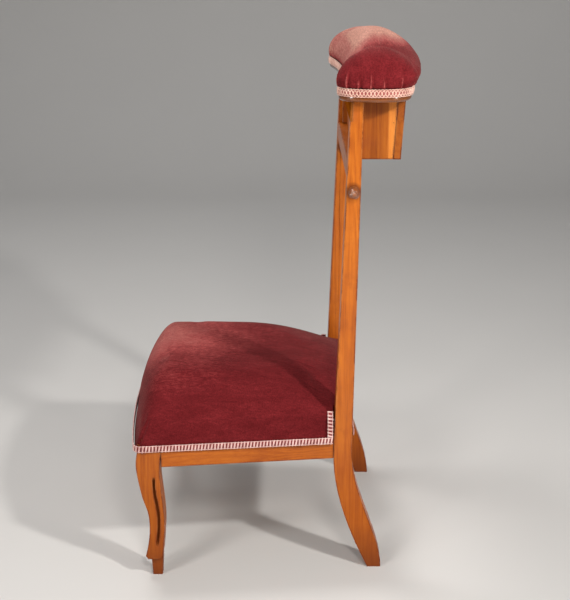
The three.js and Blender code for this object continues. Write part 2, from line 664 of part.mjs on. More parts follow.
function armPad() {
  const bottom = ARM_BOARD_TOP + GAP;
  const plan = raise(armPlan(ARM_PAD_SWELL), bottom, ARM_CROWN + 1);
  const front = ARM_FRONT_MIDDLE - ARM_FRONT_BOW - ARM_PAD_SWELL - 5;
  const rear = ARM_REAR_MIDDLE + ARM_PAD_SWELL + 2;
  const middle = (front + rear) / 2;
  const across = new THREE.Shape();
  across.moveTo(front, bottom - 1);
  across.lineTo(front, 846);
  across.bezierCurveTo(front + 6, 876, middle - 36, ARM_CROWN, middle, ARM_CROWN);
  across.bezierCurveTo(middle + 36, ARM_CROWN, rear - 6, 880, rear, 852);
  across.lineTo(rear, bottom - 1);
  const tip = ARM_HALF + ARM_PAD_SWELL + 1;
  const along = new THREE.Shape();
  along.moveTo(-tip, bottom - 1);
  along.lineTo(-tip, 844);
  along.bezierCurveTo(-tip + 6, 876, -110, ARM_CROWN, 0, ARM_CROWN);
  along.bezierCurveTo(110, ARM_CROWN, tip - 6, 876, tip, 844);
  along.lineTo(tip, bottom - 1);
  return solid(plan)
    .intersect(solid(runAlongX(across, -tip, tip)))
    .intersect(solid(runAlongY(along, front - 20, rear + 20)));
}
addSolid('armrest_pad', armPad(), VELVET);

const armBraidTop = ARM_BOARD_TOP;
addSolid('armrest_braid', cut(
  solid(raise(armPlan(BRAID_THICK + GAP), ARM_BRAID_BOTTOM, armBraidTop)),
  raise(armPlan(GAP), ARM_BRAID_BOTTOM - 1, armBraidTop + 1),
), BRAID);

// ---- Hinges: two butt hinges between the rear panel and the board ----
const KNUCKLES = 3;
const knuckleLong = HINGE_LONG / KNUCKLES;

function leaf(middle, carried, bottom, top) {
  const start = middle - HINGE_LONG / 2;
  let plate = solid(block(
    [start, HINGE_Y - LEAF_REACH, bottom], [start + HINGE_LONG, HINGE_Y, top]));
  for (let index = 0; index < KNUCKLES; index += 1) {
    const from = start + index * knuckleLong;
    const to = from + knuckleLong;
    if (carried.includes(index)) {
      plate = join(plate, rod(HINGE_RADIUS, from + GAP / 2, to - GAP / 2, 'x', [HINGE_Y, HINGE_Z], 16));
    } else {
      plate = cut(plate, rod(HINGE_RADIUS + 0.5, from - GAP / 2, to + GAP / 2, 'x', [HINGE_Y, HINGE_Z], 16));
    }
  }
  const pinHole = rod(HINGE_PIN_RADIUS + 0.15, start - 1, start + HINGE_LONG + 1, 'x', [HINGE_Y, HINGE_Z], 12);
  const screwHoles = screwPlaces(middle).map((x) => (
    rod(SCREW_HEAD_RADIUS + 0.4, bottom - 1, top + 1, 'z', [x, screwY], 12)));
  return cut(plate, pinHole, ...screwHoles);
}

// A countersunk wood screw, head up, with a driving slot. Its head's flat face is at height zero.
function screw() {
  const profile = [[0, -SCREW_LONG], [SCREW_SHANK_RADIUS * 0.4, -SCREW_LONG + 1],
    [SCREW_SHANK_RADIUS, -SCREW_LONG + 4], [SCREW_SHANK_RADIUS, -LEAF_THICK - 0.1],
    [SCREW_HEAD_RADIUS, -0.1], [SCREW_HEAD_RADIUS, 0], [0, 0]];
  const turned = new THREE.LatheGeometry(profile.map(([r, z]) => new THREE.Vector2(r, z)), 10);
  turned.rotateX(Math.PI / 2);
  const slot = block([-SCREW_HEAD_RADIUS - 1, -0.4, -0.6], [SCREW_HEAD_RADIUS + 1, 0.4, 1]);
  return geometryOf(cut(solid(turned), slot));
}

for (const [name, middle] of HINGE_MIDDLES) {
  addSolid(`${name}_hinge_fixed_leaf`, leaf(middle, [0, 2], fixedLeafTop - LEAF_THICK, fixedLeafTop), BRASS);
  addSolid(`${name}_hinge_lid_leaf`, leaf(middle, [1], lidLeafBottom, lidLeafBottom + LEAF_THICK), BRASS);
  const pin = rod(HINGE_PIN_RADIUS, -HINGE_LONG / 2, HINGE_LONG / 2, 'x', [0, 0], 16);
  addPiece(`${name}_hinge_pin`, pin, STEEL, [middle, HINGE_Y, HINGE_Z]);
  screwPlaces(middle).forEach((x, index) => {
    addPiece(`${name}_fixed_leaf_screw_${index + 1}`, screw(), STEEL, [x, screwY, fixedLeafTop]);
    addPiece(`${name}_lid_leaf_screw_${index + 1}`, screw().rotateX(Math.PI), STEEL,
      [x, screwY, lidLeafBottom]);
  });
}

export default bench;
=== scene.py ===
"""Looks of the kneeling bench: varnished fruitwood, worn red velvet cushions, pink gimp braid and small brass
hinges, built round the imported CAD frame. Metres, +Z up, the kneeler faces +Y, right is +X."""
import math

import bmesh
import bpy
import numpy as np
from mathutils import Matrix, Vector


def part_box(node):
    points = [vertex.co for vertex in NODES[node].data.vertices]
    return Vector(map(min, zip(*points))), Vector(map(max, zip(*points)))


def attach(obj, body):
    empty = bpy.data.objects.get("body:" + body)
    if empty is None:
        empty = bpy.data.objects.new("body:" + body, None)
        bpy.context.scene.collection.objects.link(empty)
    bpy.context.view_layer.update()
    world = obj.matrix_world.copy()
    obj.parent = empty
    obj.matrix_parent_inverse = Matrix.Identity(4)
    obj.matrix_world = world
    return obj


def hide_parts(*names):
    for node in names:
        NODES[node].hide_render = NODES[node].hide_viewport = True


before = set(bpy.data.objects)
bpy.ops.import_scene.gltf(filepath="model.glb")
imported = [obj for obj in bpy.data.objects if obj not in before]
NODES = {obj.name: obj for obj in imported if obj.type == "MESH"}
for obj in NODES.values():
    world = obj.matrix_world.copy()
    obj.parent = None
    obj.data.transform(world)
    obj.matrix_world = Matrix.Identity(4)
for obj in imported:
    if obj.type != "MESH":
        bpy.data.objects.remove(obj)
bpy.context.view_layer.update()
MM = 0.001

# ---- Camera: the side of the chair, from a little above the armrest ----
CAMERA_PLACE = (2.113, 0.024, 1.1015)
CAMERA_TILT = math.radians(17.9)
CAMERA_LENS = 75.0


def make_camera():
    data = bpy.data.cameras.new("camera")
    data.lens = CAMERA_LENS
    data.sensor_width = 36.0
    data.clip_start = 0.05
    camera = bpy.data.objects.new("camera", data)
    bpy.context.scene.collection.objects.link(camera)
    camera.location = CAMERA_PLACE
    gaze = Vector((-math.cos(CAMERA_TILT), 0.0, -math.sin(CAMERA_TILT)))
    camera.rotation_euler = gaze.to_track_quat("-Z", "Y").to_euler()
    bpy.context.scene.camera = camera


make_camera()

# ---- Driving dimensions shared with the CAD part, in metres ----
POST_FRONT = 105.5 * MM
POST_INNER = 172.0 * MM
POST_OUTER = 200.0 * MM
COVER_HALF_FRONT = 240.5 * MM
COVER_HALF_REAR = 203.5 * MM
COVER_CORNER_Y = -222.6 * MM
COVER_BOW = 17.0 * MM
COVER_CORNER_RADIUS = 14.0 * MM
COVER_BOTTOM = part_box("seat_cover_skirt")[0].z
COVER_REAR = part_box("seat_cover_rear_skirt")[1].y
PAD_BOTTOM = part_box("seat_pad")[0].z
BRAID_WIDTH = 13.0 * MM

ARM_HALF = 225.4 * MM
ARM_END_RADIUS = 40.0 * MM
ARM_FRONT_MIDDLE = 123.6 * MM
ARM_REAR_MIDDLE = 233.4 * MM
ARM_FRONT_BOW = 17.0 * MM
ARM_REAR_BOW = 14.0 * MM
ARM_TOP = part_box("armrest_board")[1].z
ARM_BRAID_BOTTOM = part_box("armrest_braid")[0].z


# ---- Materials ----
class Paint:
    """A material whose nodes are written one call at a time."""

    def __init__(self, name):
        self.material = bpy.data.materials.new(name)
        self.material.use_nodes = True
        self.nodes = self.material.node_tree.nodes
        self.links = self.material.node_tree.links
        self.shader = self.nodes["Principled BSDF"]
        self.place = self.add("ShaderNodeTexCoord").outputs["Object"]

    def add(self, kind, inputs=None, **settings):
        node = self.nodes.new(kind)
        for key, value in settings.items():
            setattr(node, key, value)
        for key, value in (inputs or {}).items():
            self.feed(node.inputs[key], value)
        return node

    def feed(self, socket, value):
        if isinstance(value, bpy.types.NodeSocket):
            self.links.new(value, socket)
        else:
            socket.default_value = value

    def shade(self, **sockets):
        for key, value in sockets.items():
            self.feed(self.shader.inputs[key.replace("_", " ")], value)

    def stretched(self, scale, offset=(0.0, 0.0, 0.0)):
        inputs = {"Vector": self.place, "Scale": scale, "Location": offset}
        return self.add("ShaderNodeMapping", inputs).outputs["Vector"]

    def noise(self, vector, scale, detail=2.0, rough=0.5, twist=0.0):
        inputs = {"Vector": vector, "Scale": scale, "Detail": detail, "Roughness": rough, "Distortion": twist}
        return self.add("ShaderNodeTexNoise", inputs).outputs["Fac"]

    def calc(self, operation, first, second=0.0):
        return self.add("ShaderNodeMath", {0: first, 1: second}, operation=operation).outputs[0]

    def spread(self, value, low, high, to_low=0.0, to_high=1.0):
        inputs = {"Value": value, "From Min": low, "From Max": high, "To Min": to_low, "To Max": to_high}
        return self.add("ShaderNodeMapRange", inputs).outputs["Result"]

    def ramp(self, value, stops):
        node = self.add("ShaderNodeValToRGB", {"Fac": value})
        elements = node.color_ramp.elements
        while len(elements) < len(stops):
            elements.new(0.5)
        for element, (position, colour) in zip(elements, stops):
            element.position = position
            element.color = (*colour, 1.0)
        return node.outputs["Color"]

    def mix(self, share, first, second, blend="MIX"):
        node = self.add("ShaderNodeMix", data_type="RGBA", blend_type=blend)
        for socket, value in ((0, share), (6, first), (7, second)):
            if isinstance(value, tuple):
                value = (*value, 1.0)
            self.feed(node.inputs[socket], value)
        return node.outputs[2]

    def tint(self, under, mask, share, tone):
        """Lays a tone over a colour where mask is high, by share at most."""
        return self.mix(self.calc("MULTIPLY", mask, share), under, tone)

    def total(self, *terms):
        """Sum of values, each times its weight."""
        result = 0.0
        for value, weight in terms:
            result = self.calc("ADD", result, self.calc("MULTIPLY", value, weight))
        return result

    def attribute(self, name):
        return self.add("ShaderNodeAttribute", attribute_name=name).outputs["Fac"]

    def bump(self, height, distance, strength=1.0, under=None):
        inputs = {"Height": height, "Distance": distance, "Strength": strength}
        if under is not None:
            inputs["Normal"] = under
        return self.add("ShaderNodeBump", inputs).outputs["Normal"]


def scaled(stops, factor):
    """The stops of a ramp with all their colours brighter or darker by a factor."""
    return [(at, tuple(channel * factor for channel in tone)) for at, tone in stops]


GRAIN_SCALES = {"x": (0.07, 1.0, 1.0), "y": (1.0, 0.07, 1.0), "z": (1.0, 1.0, 0.07)}
FIBRE_SCALES = {"x": (0.022, 1.0, 1.0), "y": (1.0, 0.022, 1.0), "z": (1.0, 1.0, 0.022)}
CHERRY_TONES = [
    (0.24, (0.270, 0.050, 0.002)),
    (0.44, (0.460, 0.108, 0.005)),
    (0.56, (0.540, 0.140, 0.008)),
    (0.82, (0.680, 0.212, 0.018)),
]
SAPWOOD_TONE = (0.86, 0.30, 0.050)
PORE_TONE = (0.14, 0.022, 0.003)
GRIME_TONE = (0.24, 0.038, 0.004)
DENT_TONE = (0.060, 0.012, 0.004)
ARRIS_SHADE_AND_GRIME_TONE = (0.075, 0.010, 0.002)
BARE_TONE = (0.80, 0.36, 0.11)
CORNER_SHADE_TONE = (0.012, 0.004, 0.002)
LOW_SHADE_TONE = (0.22, 0.046, 0.009)
FOOT_TONE = (0.14, 0.028, 0.007)
STAIN_TONE = (0.085, 0.014, 0.003)
ARRIS_WIDTH = 4.5 * MM
CORNER_WIDTH = 6.0 * MM
FRENCH_POLISH = 0.8  # a coat above this is a clear polish, and below it a satin varnish


def band_mask(paint, place, low, high):
    """High between two places along one axis, with soft edges."""
    blur = 1.5 * MM
    return paint.calc("MULTIPLY", paint.spread(place, low - blur, low + blur),
                      paint.spread(place, high + blur, high - blur))


def arris_mask(paint):
    """High along the outer edges of a node, where its normal and a rounded one part."""
    face = paint.add("ShaderNodeNewGeometry").outputs["Normal"]
    rounded = paint.add("ShaderNodeBevel", {"Radius": ARRIS_WIDTH}, samples=6).outputs["Normal"]
    turn = paint.add("ShaderNodeVectorMath", {0: face, 1: rounded}, operation="DOT_PRODUCT")
    return paint.spread(turn.outputs["Value"], 0.995, 0.93)


def corner_shade_mask(paint):
    """Painted shade: high in the grooves and the inner corners of a node, where little light gets in."""
    hollow = paint.add("ShaderNodeAmbientOcclusion", {"Distance": CORNER_WIDTH}, samples=8, only_local=True)
    return paint.spread(hollow.outputs["AO"], 0.96, 0.84)


def stain_mask(paint, spots, middle):
    """High in a ragged round patch about a point of the YZ plane."""
    offset_y = paint.calc("SUBTRACT", spots["Y"], middle[0])
    offset_z = paint.calc("SUBTRACT", spots["Z"], middle[1])
    away = paint.calc("SQRT", paint.total((offset_y, offset_y), (offset_z, offset_z)))
    ragged = paint.total((away, 1.0), (paint.noise(paint.place, 110.0, 3.0), 5.0 * MM))
    return paint.spread(ragged, 18.0 * MM, 11.0 * MM)


def wood(name, grain, seed, dark=0.0, coat=0.30, sapwood=None, stain=None):
    """Varnished cherry with its figure along one axis, pores, patches of grime, dents, rubbed arrises with
    painted shade and grime along them, painted shade in the grooves and corners, painted shade low down, and
    darker still at the feet.
    """
    paint = Paint(name)
    offset = (0.37 * seed, 0.53 * seed, 0.71 * seed)
    long_way = paint.stretched(GRAIN_SCALES[grain], offset)
    fibre_way = paint.stretched(FIBRE_SCALES[grain], offset)
    spots = paint.add("ShaderNodeSeparateXYZ", {"Vector": paint.place}).outputs
    rings = paint.calc("SINE", paint.calc("MULTIPLY", paint.noise(long_way, 15.0, 2.0, 0.5, 0.3), 120.0))
    rings = paint.spread(rings, -1.0, 1.0)
    fibres = paint.noise(fibre_way, 620.0, 3.0, 0.6)
    patches = paint.noise(paint.place, 8.0 + seed % 3, 4.0, 0.6)
    figure = paint.total((rings, 0.12), (fibres, 0.46), (patches, 0.36))
    tones = paint.ramp(figure, scaled(CHERRY_TONES, 1.0 - dark))
    if sapwood:
        tones = paint.tint(tones, band_mask(paint, spots["Y"], *sapwood), 0.55, SAPWOOD_TONE)

    pores = paint.spread(paint.noise(fibre_way, 1700.0, 1.0), 0.62, 0.72)
    grime = paint.spread(paint.noise(paint.place, 27.0, 4.0, 0.65), 0.54, 0.80)
    dents = paint.spread(paint.noise(paint.place, 240.0, 2.0, 0.7), 0.735, 0.765)
    tones = paint.tint(tones, pores, 0.40, PORE_TONE)
    tones = paint.tint(tones, grime, 0.45, GRIME_TONE)
    tones = paint.tint(tones, dents, 0.75, DENT_TONE)

    arris = arris_mask(paint)
    rubbed = paint.spread(paint.noise(paint.place, 38.0, 3.0, 0.6), 0.44, 0.60)
    # Painted shade and grime along the outer edges: near black, less so where the edge is rubbed, with bare
    # wood showing there.
    edge_shade_and_grime = paint.calc("SUBTRACT", 0.96, paint.calc("MULTIPLY", rubbed, 0.52))
    tones = paint.tint(tones, arris, edge_shade_and_grime, ARRIS_SHADE_AND_GRIME_TONE)
    tones = paint.tint(tones, paint.calc("MULTIPLY", arris, rubbed), 0.22, BARE_TONE)
    # Painted shade: the grooves and inner corners are darkened nearly to black by their local occlusion.
    corners = corner_shade_mask(paint)
    tones = paint.tint(tones, corners, 0.98, CORNER_SHADE_TONE)
    # Painted shade: darker towards the bottom, from 0.42 m down, where less light reaches.
    tones = paint.tint(tones, paint.spread(spots["Z"], 0.42, 0.06), 0.48, LOW_SHADE_TONE)
    tones = paint.tint(tones, paint.spread(spots["Z"], 0.085, 0.004), 0.75, FOOT_TONE)
    if stain:
        tones = paint.tint(tones, stain_mask(paint, spots, stain), 0.85, STAIN_TONE)

    rough = paint.calc("ADD", paint.total((fibres, 0.22), (grime, 0.16)), 0.27)
    relief = paint.total((fibres, 0.35), (rings, 0.10), (dents, -0.9))
    fine = paint.bump(relief, 0.35 * MM, 0.45)
    swell = paint.bump(paint.noise(long_way, 40.0, 1.0), 1.1 * MM, 0.30, fine)
    varnish_left = paint.calc("MULTIPLY", paint.spread(spots["Z"], 0.30, 0.10, 1.0, 0.40),
                              paint.calc("SUBTRACT", 1.0, corners))
    paint.shade(Base_Color=tones, Roughness=rough, Normal=swell,
                Specular_IOR_Level=paint.calc("MULTIPLY", varnish_left, 0.34 if coat else 0.0),
                Coat_Weight=paint.calc("MULTIPLY", varnish_left, coat),
                Coat_Roughness=0.06 if coat > FRENCH_POLISH else 0.16)
    return paint.material


DEEP_PILE = [
    (0.30, (0.125, 0.0100, 0.0120)),
    (0.50, (0.150, 0.0125, 0.0150)),
    (0.72, (0.185, 0.0170, 0.0200)),
]
RUBBED_AND_LIT_PILE = [
    (0.0, (0.170, 0.0150, 0.0175)),
    (0.30, (0.300, 0.0520, 0.0500)),
    (0.55, (0.380, 0.115, 0.098)),
    (0.80, (0.460, 0.200, 0.155)),
    (1.0, (0.540, 0.265, 0.200)),
]
VELVET_SHEEN = (1.0, 0.58, 0.52, 1.0)


def velvet(name, nap, depth):
    """Cotton velvet: short dark red pile brushed along nap, flecks, and salmon ground where it is worn, paler
    still where painted light is laid on the seat's lit top.
    """
    paint = Paint(name)
    drift = paint.noise(paint.place, 14.0, 4.0, 0.6, 0.4)
    brushed = paint.noise(paint.stretched(nap), 52.0, 3.0, 0.6, 0.6)
    streaks = paint.noise(paint.stretched(nap), 330.0, 3.0, 0.65)
    flecks = paint.noise(paint.place, 430.0, 2.0, 0.6)
    pile = paint.noise(paint.place, 900.0, 3.0, 0.75)
    deep = paint.ramp(brushed, scaled(DEEP_PILE, depth))
    uneven = [(paint.calc("SUBTRACT", field, 0.5), weight)
              for field, weight in ((drift, 0.30), (brushed, 0.16), (streaks, 0.34))]
    # The wear attribute holds real rubbing, and on the seat it also holds painted light for the lit top and
    # far half.
    rubbed = paint.spread(paint.total((paint.attribute("worn"), 1.0), *uneven), 0.10, 0.95)
    colour = paint.mix(paint.spread(rubbed, 0.0, 0.30), deep, paint.ramp(rubbed, RUBBED_AND_LIT_PILE))
    nubs = paint.total((flecks, 0.55), (streaks, 0.45))
    for grains, low, high in ((pile, 0.72, 1.22), (nubs, 0.72, 1.30)):
        strength = paint.spread(grains, 0.34, 0.66, low, high)
        grey = paint.add("ShaderNodeCombineColor", {0: strength, 1: strength, 2: strength}).outputs[0]
        colour = paint.mix(1.0, colour, grey, "MULTIPLY")
    soft = paint.bump(nubs, 1.2 * MM, 0.35, paint.bump(pile, 0.7 * MM, 0.55))
    paint.shade(Base_Color=colour, Roughness=0.95, Normal=soft, Specular_IOR_Level=0.06, Sheen_Weight=0.14,
                Sheen_Roughness=0.30, Sheen_Tint=VELVET_SHEEN)
    return paint.material


def thread(name, light, shadow, twist):
    """Cotton thread with its twist, slightly soiled."""
    paint = Paint(name)
    soil = paint.noise(paint.place, 60.0, 3.0, 0.6)
    strands = paint.noise(paint.place, twist, 2.0, 0.6)
    colour = paint.mix(paint.spread(soil, 0.35, 0.75), light, shadow)
    colour = paint.tint(colour, paint.spread(strands, 0.45, 0.75), 0.4, shadow)
    paint.shade(Base_Color=colour, Roughness=0.82, Normal=paint.bump(strands, 0.4 * MM, 0.6),
                Specular_IOR_Level=0.25, Sheen_Weight=0.25, Sheen_Roughness=0.45)
    return paint.material


def cloth_weave(name, light, dark, count):
    """A plain woven cloth: two sets of yarns, count to the metre."""
    paint = Paint(name)
    waves = {"Vector": paint.place, "Scale": count, "Distortion": 0.6}
    warp, weft = (paint.add("ShaderNodeTexWave", waves, bands_direction=way).outputs["Fac"] for way in "XY")
    yarns = paint.calc("MULTIPLY", warp, weft)
    soil = paint.noise(paint.place, 22.0, 4.0, 0.6)
    colour = paint.tint(paint.mix(yarns, dark, light), paint.spread(soil, 0.45, 0.75), 0.5, dark)
    paint.shade(Base_Color=colour, Roughness=0.9, Normal=paint.bump(yarns, 0.7 * MM, 0.8),
                Specular_IOR_Level=0.2)
    return paint.material


def metal(name, bright, dull, roughness):
    """Old metal: bright where rubbed, tarnished in patches, faintly scratched."""
    paint = Paint(name)
    tarnish = paint.noise(paint.place, 260.0, 4.0, 0.65)
    scratches = paint.noise(paint.stretched((0.05, 1.0, 1.0)), 2600.0, 2.0)
    colour = paint.mix(paint.spread(tarnish, 0.4, 0.7), bright, dull)
    rough = paint.calc("ADD", paint.calc("MULTIPLY", tarnish, 0.25), roughness)
    scratched = paint.bump(scratches, 0.1 * MM, 0.5)
    paint.shade(Base_Color=colour, Metallic=0.92, Roughness=rough, Normal=scratched)
    return paint.material


SEAT_VELVET = velvet("seat_velvet", (1.0, 0.34, 1.0), 0.82)
ARM_VELVET = velvet("armrest_velvet", (0.14, 1.0, 1.0), 1.04)
CORD = thread("braid_cord", (0.800, 0.530, 0.430), (0.600, 0.310, 0.240), 2200.0)
PALE_CORD = thread("seat_braid_cord", (0.820, 0.570, 0.520), (0.520, 0.260, 0.230), 2200.0)
TAPE = thread("braid_tape", (0.420, 0.130, 0.115), (0.260, 0.060, 0.055), 1600.0)
RED_TAPE = thread("seat_braid_tape", (0.260, 0.045, 0.045), (0.150, 0.022, 0.022), 1600.0)
JUTE = cloth_weave("jute_webbing", (0.420, 0.310, 0.170), (0.180, 0.120, 0.060), 110.0)
CANVAS = cloth_weave("base_canvas", (0.560, 0.480, 0.350), (0.330, 0.270, 0.180), 260.0)
BRASS = metal("aged_brass", (0.600, 0.430, 0.170), (0.230, 0.150, 0.060), 0.30)
STEEL = metal("dull_steel", (0.460, 0.440, 0.410), (0.190, 0.170, 0.150), 0.34)
KNOB_WOOD = wood("dark_knob_wood", "x", 9, 0.55, 1.0)
POLISH_IOR = 1.85  # the thick polish on the knobs mirrors more than varnish does
KNOB_WOOD.node_tree.nodes["Principled BSDF"].inputs["Coat IOR"].default_value = POLISH_IOR


# ---- Wooden and metal CAD nodes: rounded arrises and their own run of grain ----
def soften(node, width, segments=3):
    """Joins the split corners of a CAD mesh and rounds its sharp edges."""
    for polygon in node.data.polygons:
        polygon.use_smooth = True
    weld = node.modifiers.new("weld", "WELD")
    weld.merge_threshold = 1e-6
    flat = node.modifiers.new("flat_faces", "DECIMATE")
    flat.decimate_type = "DISSOLVE"
    flat.angle_limit = math.radians(0.6)
    edge = node.modifiers.new("rounded_edges", "BEVEL")
    edge.width = width
    edge.segments = segments
    edge.limit_method = "ANGLE"
    edge.angle_limit = math.radians(38.0)
    edge.use_clamp_overlap = True
    edge.miter_outer = "MITER_ARC"
    normals = node.modifiers.new("face_normals", "WEIGHTED_NORMAL")
    normals.keep_sharp = False
    normals.weight = 90


def dress(node_name, material):
    node = NODES[node_name]
    node.data.materials.clear()
    node.data.materials.append(material)


# Each wooden piece: the axis its grain follows, the rounding of its arrises in mm, how much darker it is than
# plain cherry, and how thick its polish is.
WOOD_PIECES = {
    "left_rear_post": ("z", 2.6, 0.0, 0.16),
    "right_rear_post": ("z", 2.6, 0.0, 0.16),
    # The front legs are 0.12 darker as painted shade, for the weaker light low down.
    "left_front_leg": ("z", 1.6, 0.12, 0.10),
    "right_front_leg": ("z", 1.6, 0.12, 0.10),
    "seat_left_rail": ("y", 1.2, 0.04, 0.08),
    "seat_right_rail": ("y", 1.2, 0.04, 0.08),
    "seat_front_rail": ("x", 1.2, 0.0, 0.2),
    "seat_rear_rail": ("x", 1.2, 0.1, 0.2),
    "back_rail": ("x", 1.6, 0.22, 0.25),
    "armrest_apron": ("x", 0.5, 0.50, 0.0),
    "box_left_end": ("z", 1.2, 0.32, 0.20),
    "box_right_end": ("z", 1.2, 0.32, 0.20),
    "box_front_panel": ("x", 0.8, 0.20, 0.15),
    "box_rear_panel": ("x", 1.4, 0.34, 0.20),
    "box_floor": ("x", 0.6, 0.15, 0.0),
    "armrest_board": ("x", 3.4, 0.62, 1.0),
}
SAPWOOD = (186.0 * MM, 199.7 * MM)  # the pale strip down the box ends, along Y
KNOB_MIDDLE = (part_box("right_knob")[0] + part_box("right_knob")[1]) / 2
for seed, (name, (grain, rounding, darker, polish)) in enumerate(WOOD_PIECES.items(), start=1):
    soften(NODES[name], rounding * MM)
    band = SAPWOOD if name in ("box_left_end", "box_right_end") else None
    ring = (KNOB_MIDDLE.y, KNOB_MIDDLE.z) if "rear_post" in name else None
    dress(name, wood(f"cherry_{name}", grain, seed, darker, polish, band, ring))

for corner in ("left_front", "left_rear", "right_front", "right_rear"):
    soften(NODES[f"{corner}_corner_block"], 0.8 * MM, 2)
    dress(f"{corner}_corner_block", wood(f"inner_{corner}", "z", 20 + len(corner), 0.25, 0.0))

for name, node in NODES.items():
    if name.startswith("webbing"):
        dress(name, JUTE)
    if "hinge" in name:
        dress(name, STEEL if "pin" in name else BRASS)
    if "screw" in name:
        dress(name, STEEL)
dress("seat_canvas", CANVAS)


# ---- Mesh helpers ----
def new_piece(name, points, faces, material):
    mesh = bpy.data.meshes.new(name)
    mesh.from_pydata([tuple(point) for point in points], [], [tuple(face) for face in faces])
    mesh.update()
    piece = bpy.data.objects.new(name, mesh)
    bpy.context.scene.collection.objects.link(piece)
    for polygon in mesh.polygons:
        polygon.use_smooth = True
    mesh.materials.append(material)
    return piece


def outward(piece, weld=False, split_caps=False):
    """Turns every face of a closed piece outwards, after joining its doubled points or splitting its
    many-sided faces into triangles."""
    shape = bmesh.new()
    shape.from_mesh(piece.data)
    if weld:
        bmesh.ops.remove_doubles(shape, verts=shape.verts, dist=1e-6)
    if split_caps:
        bmesh.ops.triangulate(shape, faces=[face for face in shape.faces if len(face.verts) > 4])
    bmesh.ops.recalc_face_normals(shape, faces=shape.faces)
    shape.to_mesh(piece.data)
    shape.free()


def vectors(items, field):
    flat = np.empty(len(items) * 3)
    items.foreach_get(field, flat)
    return flat.reshape(-1, 3)


def places_of(piece):
    return vectors(piece.data.vertices, "co")


def normals_of(piece):
    return vectors(piece.data.vertex_normals, "vector")


def shift(piece, move):
    piece.data.vertices.foreach_set("co", (places_of(piece) + move).ravel())
    piece.data.update()


def smooth_step(value, low, high):
    t = np.clip((value - low) / (high - low), 0.0, 1.0)
    return t * t * (3 - 2 * t)


def quadratic(start, control, end, count):
    """Points of a quadratic curve, without its last one."""
    t = np.linspace(0.0, 1.0, count, endpoint=False)[:, None]
    start, control, end = (np.array(point, float) for point in (start, control, end))
    return (1 - t) ** 2 * start + 2 * t * (1 - t) * control + t * t * end


def cubic(start, first, second, end, count):
    """Points of a cubic curve, without its last one."""
    t = np.linspace(0.0, 1.0, count, endpoint=False)[:, None]
    start, first, second, end = (np.array(point, float) for point in (start, first, second, end))
    return (1 - t) ** 3 * start + 3 * t * (1 - t) ** 2 * first + 3 * t * t * (1 - t) * second + t ** 3 * end


def evenly(points, spacing, closed):
    """The same route with points at an even spacing."""
    route = np.vstack([points, points[:1]]) if closed else np.asarray(points)
    steps = np.linalg.norm(np.diff(route, axis=0), axis=1)
    run = np.concatenate([[0.0], np.cumsum(steps)])
    count = max(4, int(round(run[-1] / spacing)))
    places = np.linspace(0.0, run[-1], count + 1)
    if closed:
        places = places[:-1]
    return np.stack([np.interp(places, run, route[:, axis]) for axis in range(route.shape[1])], axis=1)


def headings(route, closed):
    """Unit direction of a route at each of its points."""
    ahead = np.roll(route, -1, axis=0) - np.roll(route, 1, axis=0)
    if not closed:
        ahead[0] = route[1] - route[0]
        ahead[-1] = route[-1] - route[-2]
    return ahead / np.linalg.norm(ahead, axis=1)[:, None]


def ring_faces(low, top, count):
    """Faces between two rings of points, of which low and top are the first numbers."""
    return [(low + i, low + (i + 1) % count, top + (i + 1) % count, top + i) for i in range(count)]


def sweep(route, out, radius, sides, closed):
    """Points and faces of a round cord along a route; out is a direction across it at each point."""
    ahead = headings(route, closed)
    out = out - ahead * np.sum(out * ahead, axis=1)[:, None]
    out /= np.linalg.norm(out, axis=1)[:, None]
    across = np.cross(ahead, out)
    angles = np.linspace(0.0, 2 * math.pi, sides, endpoint=False)
    ring = [route + radius * (math.cos(a) * out + math.sin(a) * across) for a in angles]
    points = np.stack(ring, axis=1).reshape(-1, 3)
    count = len(route)
    faces = []
    for i in range(count if closed else count - 1):
        faces += ring_faces(i * sides, (i + 1) % count * sides, sides)
    if not closed:
        faces.append(tuple(range(sides))[::-1])
        faces.append(tuple((count - 1) * sides + k for k in range(sides)))
    return points, faces


# ---- Gimp braid ----
BRAID_PITCH = 5.4 * MM
CORD_RADIUS = 0.95 * MM
CORD_SIDES = 6
LOOP_CORD_RADIUS = 0.82 * MM
LOOP_CORD_SIDES = 5
LOOP_POINTS = 18
LOOP_HALF = 0.62 * MM  # from the middle of a loop to the middle of the cord on its left or right


